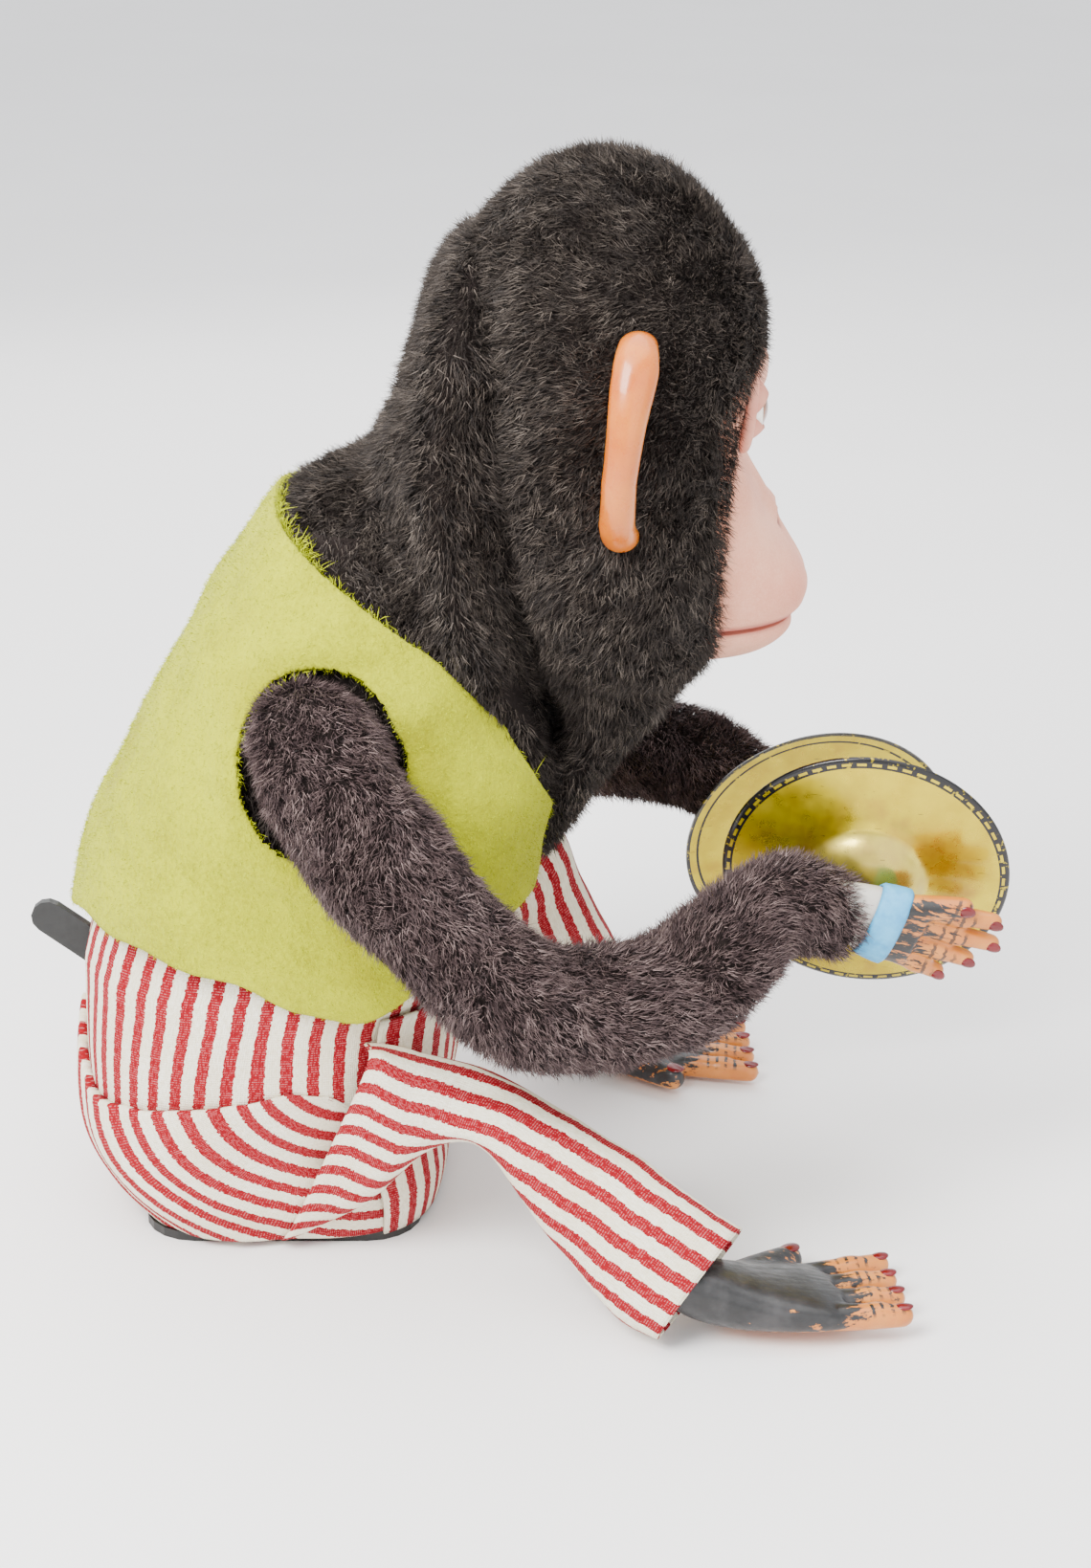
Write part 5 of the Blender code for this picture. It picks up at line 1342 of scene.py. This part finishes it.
def foot_material(side):
    s, p, tan, ink = painted_vinyl("foot_paint_" + side)
    x, y, z = s.split(p)
    streak = s.noise(s.stretch(p, (2.2, 0.5, 1.0)), 2.6, 4, 0.65)
    cover = s.plus(s.spread(y, -40, -29, -0.16, 0.26), s.spread(z, 0.6, 3.2, -0.5, 0.0))
    edge = s.plus(s.spread(s.math("ABSOLUTE", x), 8, 16, 0.10, -0.10), cover)
    paint = s.spread(s.plus(streak, edge), 0.55, 0.60)
    line = s.math("FRACT", s.times(s.plus(y, s.times(streak, 2.0)), 0.42))
    knuckle = s.times(s.math("LESS_THAN", line, 0.34), s.math("COMPARE", y, -40.5, 4.5))
    knuckle = s.times(knuckle, s.spread(z, 4.6, 5.8))
    knuckle = s.times(knuckle, s.spread(streak, 0.42, 0.5))
    grey = s.spread(s.noise(p, 8, 3), 0.5, 0.75, 0.0, 0.6)
    ink = s.mix(grey, ink, srgb(60, 58, 59))
    s.paint(s.mix(s.math("MAXIMUM", paint, knuckle), tan, ink))
    s.rough(s.spread(streak, 0.35, 0.65, 0.30, 0.55))
    s.bump(s.noise(p, 1.3, 3), 0.25, 0.3)
    return s.material


def build_foot(side, position, roll, yaw, nail_finish):
    inward = 1 if side == "right" else -1
    place = (Matrix.Translation(Vector(position) * MM) @ Matrix.Rotation(math.radians(yaw), 4, "Z")
             @ Matrix.Rotation(math.radians(roll * inward), 4, "Y"))
    angles = np.arange(32) * 2 * math.pi / 32
    block = []
    for along, half_wide, low, high in catmull(FOOT, 2):
        lift = (low + high) / 2 + (high - low) / 2 * np.sign(np.sin(angles)) * np.abs(np.sin(angles)) ** 0.8
        block.append(np.stack([half_wide * np.cos(angles), np.full(32, along), lift], -1))
    parts, spots = [block], []
    for index in range(4):
        offset = (-10.5 + 7.0 * index) * inward
        start, end = (offset * 1.02, -29, 4.1), (offset * 1.24, -43.8 - 1.2 * index, 3.5)
        parts.append(capsule_rings(start, end, (3.25, 2.7)))
        joint = np.array(start) * 0.42 + np.array(end) * 0.58
        parts.append(capsule_rings(joint + (0, 1.4, 0.2), joint - (0, 1.4, -0.2), (3.15, 3.1)))
        spots.append(((end[0], end[1] - 0.4, end[2] + 2.4), np.subtract(end, start), (0, -0.25, 1), 1.75))
    big = ((10 * inward, -12, 6.0), (19.5 * inward, -27, 4.6))
    parts.append(capsule_rings(*big, (4.6, 3.5)))
    big_nail = (big[1][0] + 0.3 * inward, big[1][1] - 0.6, big[1][2] + 3.1)
    spots.append((big_nail, np.subtract(big[1], big[0]), (0, 0, 1), 2.2))
    foot = fuse("foot_" + side + "_vinyl", parts, 0.65, foot_material(side), place)
    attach(foot, "root")
    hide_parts("foot_" + side)
    nails("foot_nails_" + side, spots, nail_finish, place, "root")


# ---------------------------------------------------------------- carried-over frame parts
def refinish_frame():
    """Better finishes for the CAD nodes that stay as they are."""
    tin = plain_material("tin_sheet", srgb(178, 180, 182), srgb(140, 142, 146), 0.32, 1.0, 2.0, (0.3, 1, 1))
    steel = plain_material("steel_wire", srgb(186, 187, 190), srgb(132, 134, 140), 0.28, 1.0, 1.0,
                           (1, 1, 0.3))
    brass = plain_material("brass_strip", srgb(206, 170, 90), srgb(160, 120, 56), 0.3, 1.0, 1.0)
    black = plain_material("black_enamel", srgb(20, 21, 21), srgb(11, 12, 12), 0.42, 0.0, 1.5)
    nylon = plain_material("nylon_moulding", srgb(228, 222, 206), srgb(206, 198, 178), 0.45, 0.0, 2.0)
    brown = plain_material("brown_plastic", srgb(120, 84, 58), srgb(92, 62, 42), 0.45, 0.0, 2.0)
    jacket = plain_material("cell_jacket_print", srgb(40, 66, 120), srgb(24, 40, 86), 0.35, 0.2, 3.0)
    ivory = plain_material("tooth_enamel", srgb(238, 232, 214), srgb(222, 212, 188), 0.22, 0.0, 1.5)
    finishes = {
        tin: ("battery_box", "frame_right", "frame_left", "shoulder_plate_lower", "shoulder_plate_upper",
              "neck_bracket", "motor"),
        steel: ("leg_wire_right", "leg_wire_left", "arm_wire_right", "arm_wire_left", "arm_pivot_right",
                "arm_pivot_left", "cymbal_rivet_right", "cymbal_rivet_left", "neck_post", "head_spring",
                "cam_axle", "clap_yoke"),
        brass: ("contact_rear", "contact_front", "pinion"),
        black: ("base_plate", "battery_door", "switch_body", "switch_lever", "squawk_drum"),
        nylon: ("cam_gear", "clap_cam", "idler_gear"),
        brown: ("head_socket", "eye_carriage"),
        jacket: ("battery_right", "battery_left"),
        ivory: ("upper_teeth",),
    }
    for finish, names in finishes.items():
        for name in names:
            for index in range(len(NODES[name].data.materials)):
                NODES[name].data.materials[index] = finish


# ---------------------------------------------------------------- floor, light and camera
def build_stage():
    s = Shader("studio_paper", Roughness=0.75, Specular_IOR_Level=0.3)
    p = s.place()
    s.paint(s.mix(s.noise(p, 160, 3), srgb(236, 234, 234), srgb(244, 243, 243)))
    s.bump(s.noise(p, 3.0, 3), 0.05, 0.3)
    half = FLOOR_HALF
    floor = mesh_piece("floor", [(-half, -half, 0), (half, -half, 0), (half, half, 0), (-half, half, 0)],
                       [(0, 1, 2, 3)], s.material, smooth=False)

    world = bpy.data.worlds.new("studio")
    bpy.context.scene.world = world
    world.use_nodes = True
    world.node_tree.nodes["Background"].inputs["Color"].default_value = (0.95, 0.97, 1.0, 1)
    world.node_tree.nodes["Background"].inputs["Strength"].default_value = 1.6
    target = Vector((0, -60, 110)) * MM
    lights = (("key", (-560, 380, 820), 24.0, 0.50), ("fill", (-760, -620, 420), 4.0, 0.9),
              ("top", (60, -120, 980), 10.0, 1.0), ("back", (760, 160, 520), 3.0, 0.7))
    for name, position, power, size in lights:
        lamp = bpy.data.lights.new(name, "AREA")
        lamp.energy = power
        lamp.size = size
        lamp.color = (1.0, 0.985, 0.96)
        thing = bpy.data.objects.new(name, lamp)
        bpy.context.scene.collection.objects.link(thing)
        thing.location = Vector(position) * MM
        thing.rotation_euler = (target - thing.location).to_track_quat("-Z", "Y").to_euler()


def build_camera():
    """Camera at the toy's right side, a little above it."""
    camera = bpy.data.cameras.new("camera")
    camera.sensor_width = 36.0
    camera.lens = CAMERA_LENGTH * camera.sensor_width
    thing = bpy.data.objects.new("camera", camera)
    bpy.context.scene.collection.objects.link(thing)
    target = Vector(CAMERA_TARGET) * MM
    thing.location = target + Vector((-math.cos(CAMERA_RISE), 0, math.sin(CAMERA_RISE))) * CAMERA_REACH * MM
    thing.rotation_euler = (target - thing.location).to_track_quat("-Z", "Y").to_euler()
    bpy.context.scene.camera = thing


build_stage()
build_camera()
refinish_frame()
build_head_fur()
build_hood()
build_throat()
build_torso()
build_sleeve("right", SLEEVE_RIGHT, 15)
build_sleeve("left", SLEEVE_LEFT, 16)
build_vest()
build_waist()
build_seat()
build_leg("right", LEG_RIGHT, 31)
build_leg("left", LEG_LEFT, 32)
build_front()
build_face()
build_eyes()
build_ears()
CYMBAL_FINISH = cymbal_material()
NAIL = plain_material("nail_lacquer", srgb(112, 8, 18), srgb(82, 4, 10), 0.2, 0.0, 1.5)
STRAP = plain_material("strap_cloth", srgb(84, 172, 216), srgb(60, 148, 198), 0.6, 0.0, 0.5, relief=0.5)
for hand_side in ("right", "left"):
    build_cymbal(hand_side, CYMBAL_FINISH)
    build_hand(hand_side, NAIL, STRAP)
build_foot("right", (-80, -101, 1.7), 5, 14, NAIL)
build_foot("left", (60, -73, 0.3), 0, -4, NAIL)
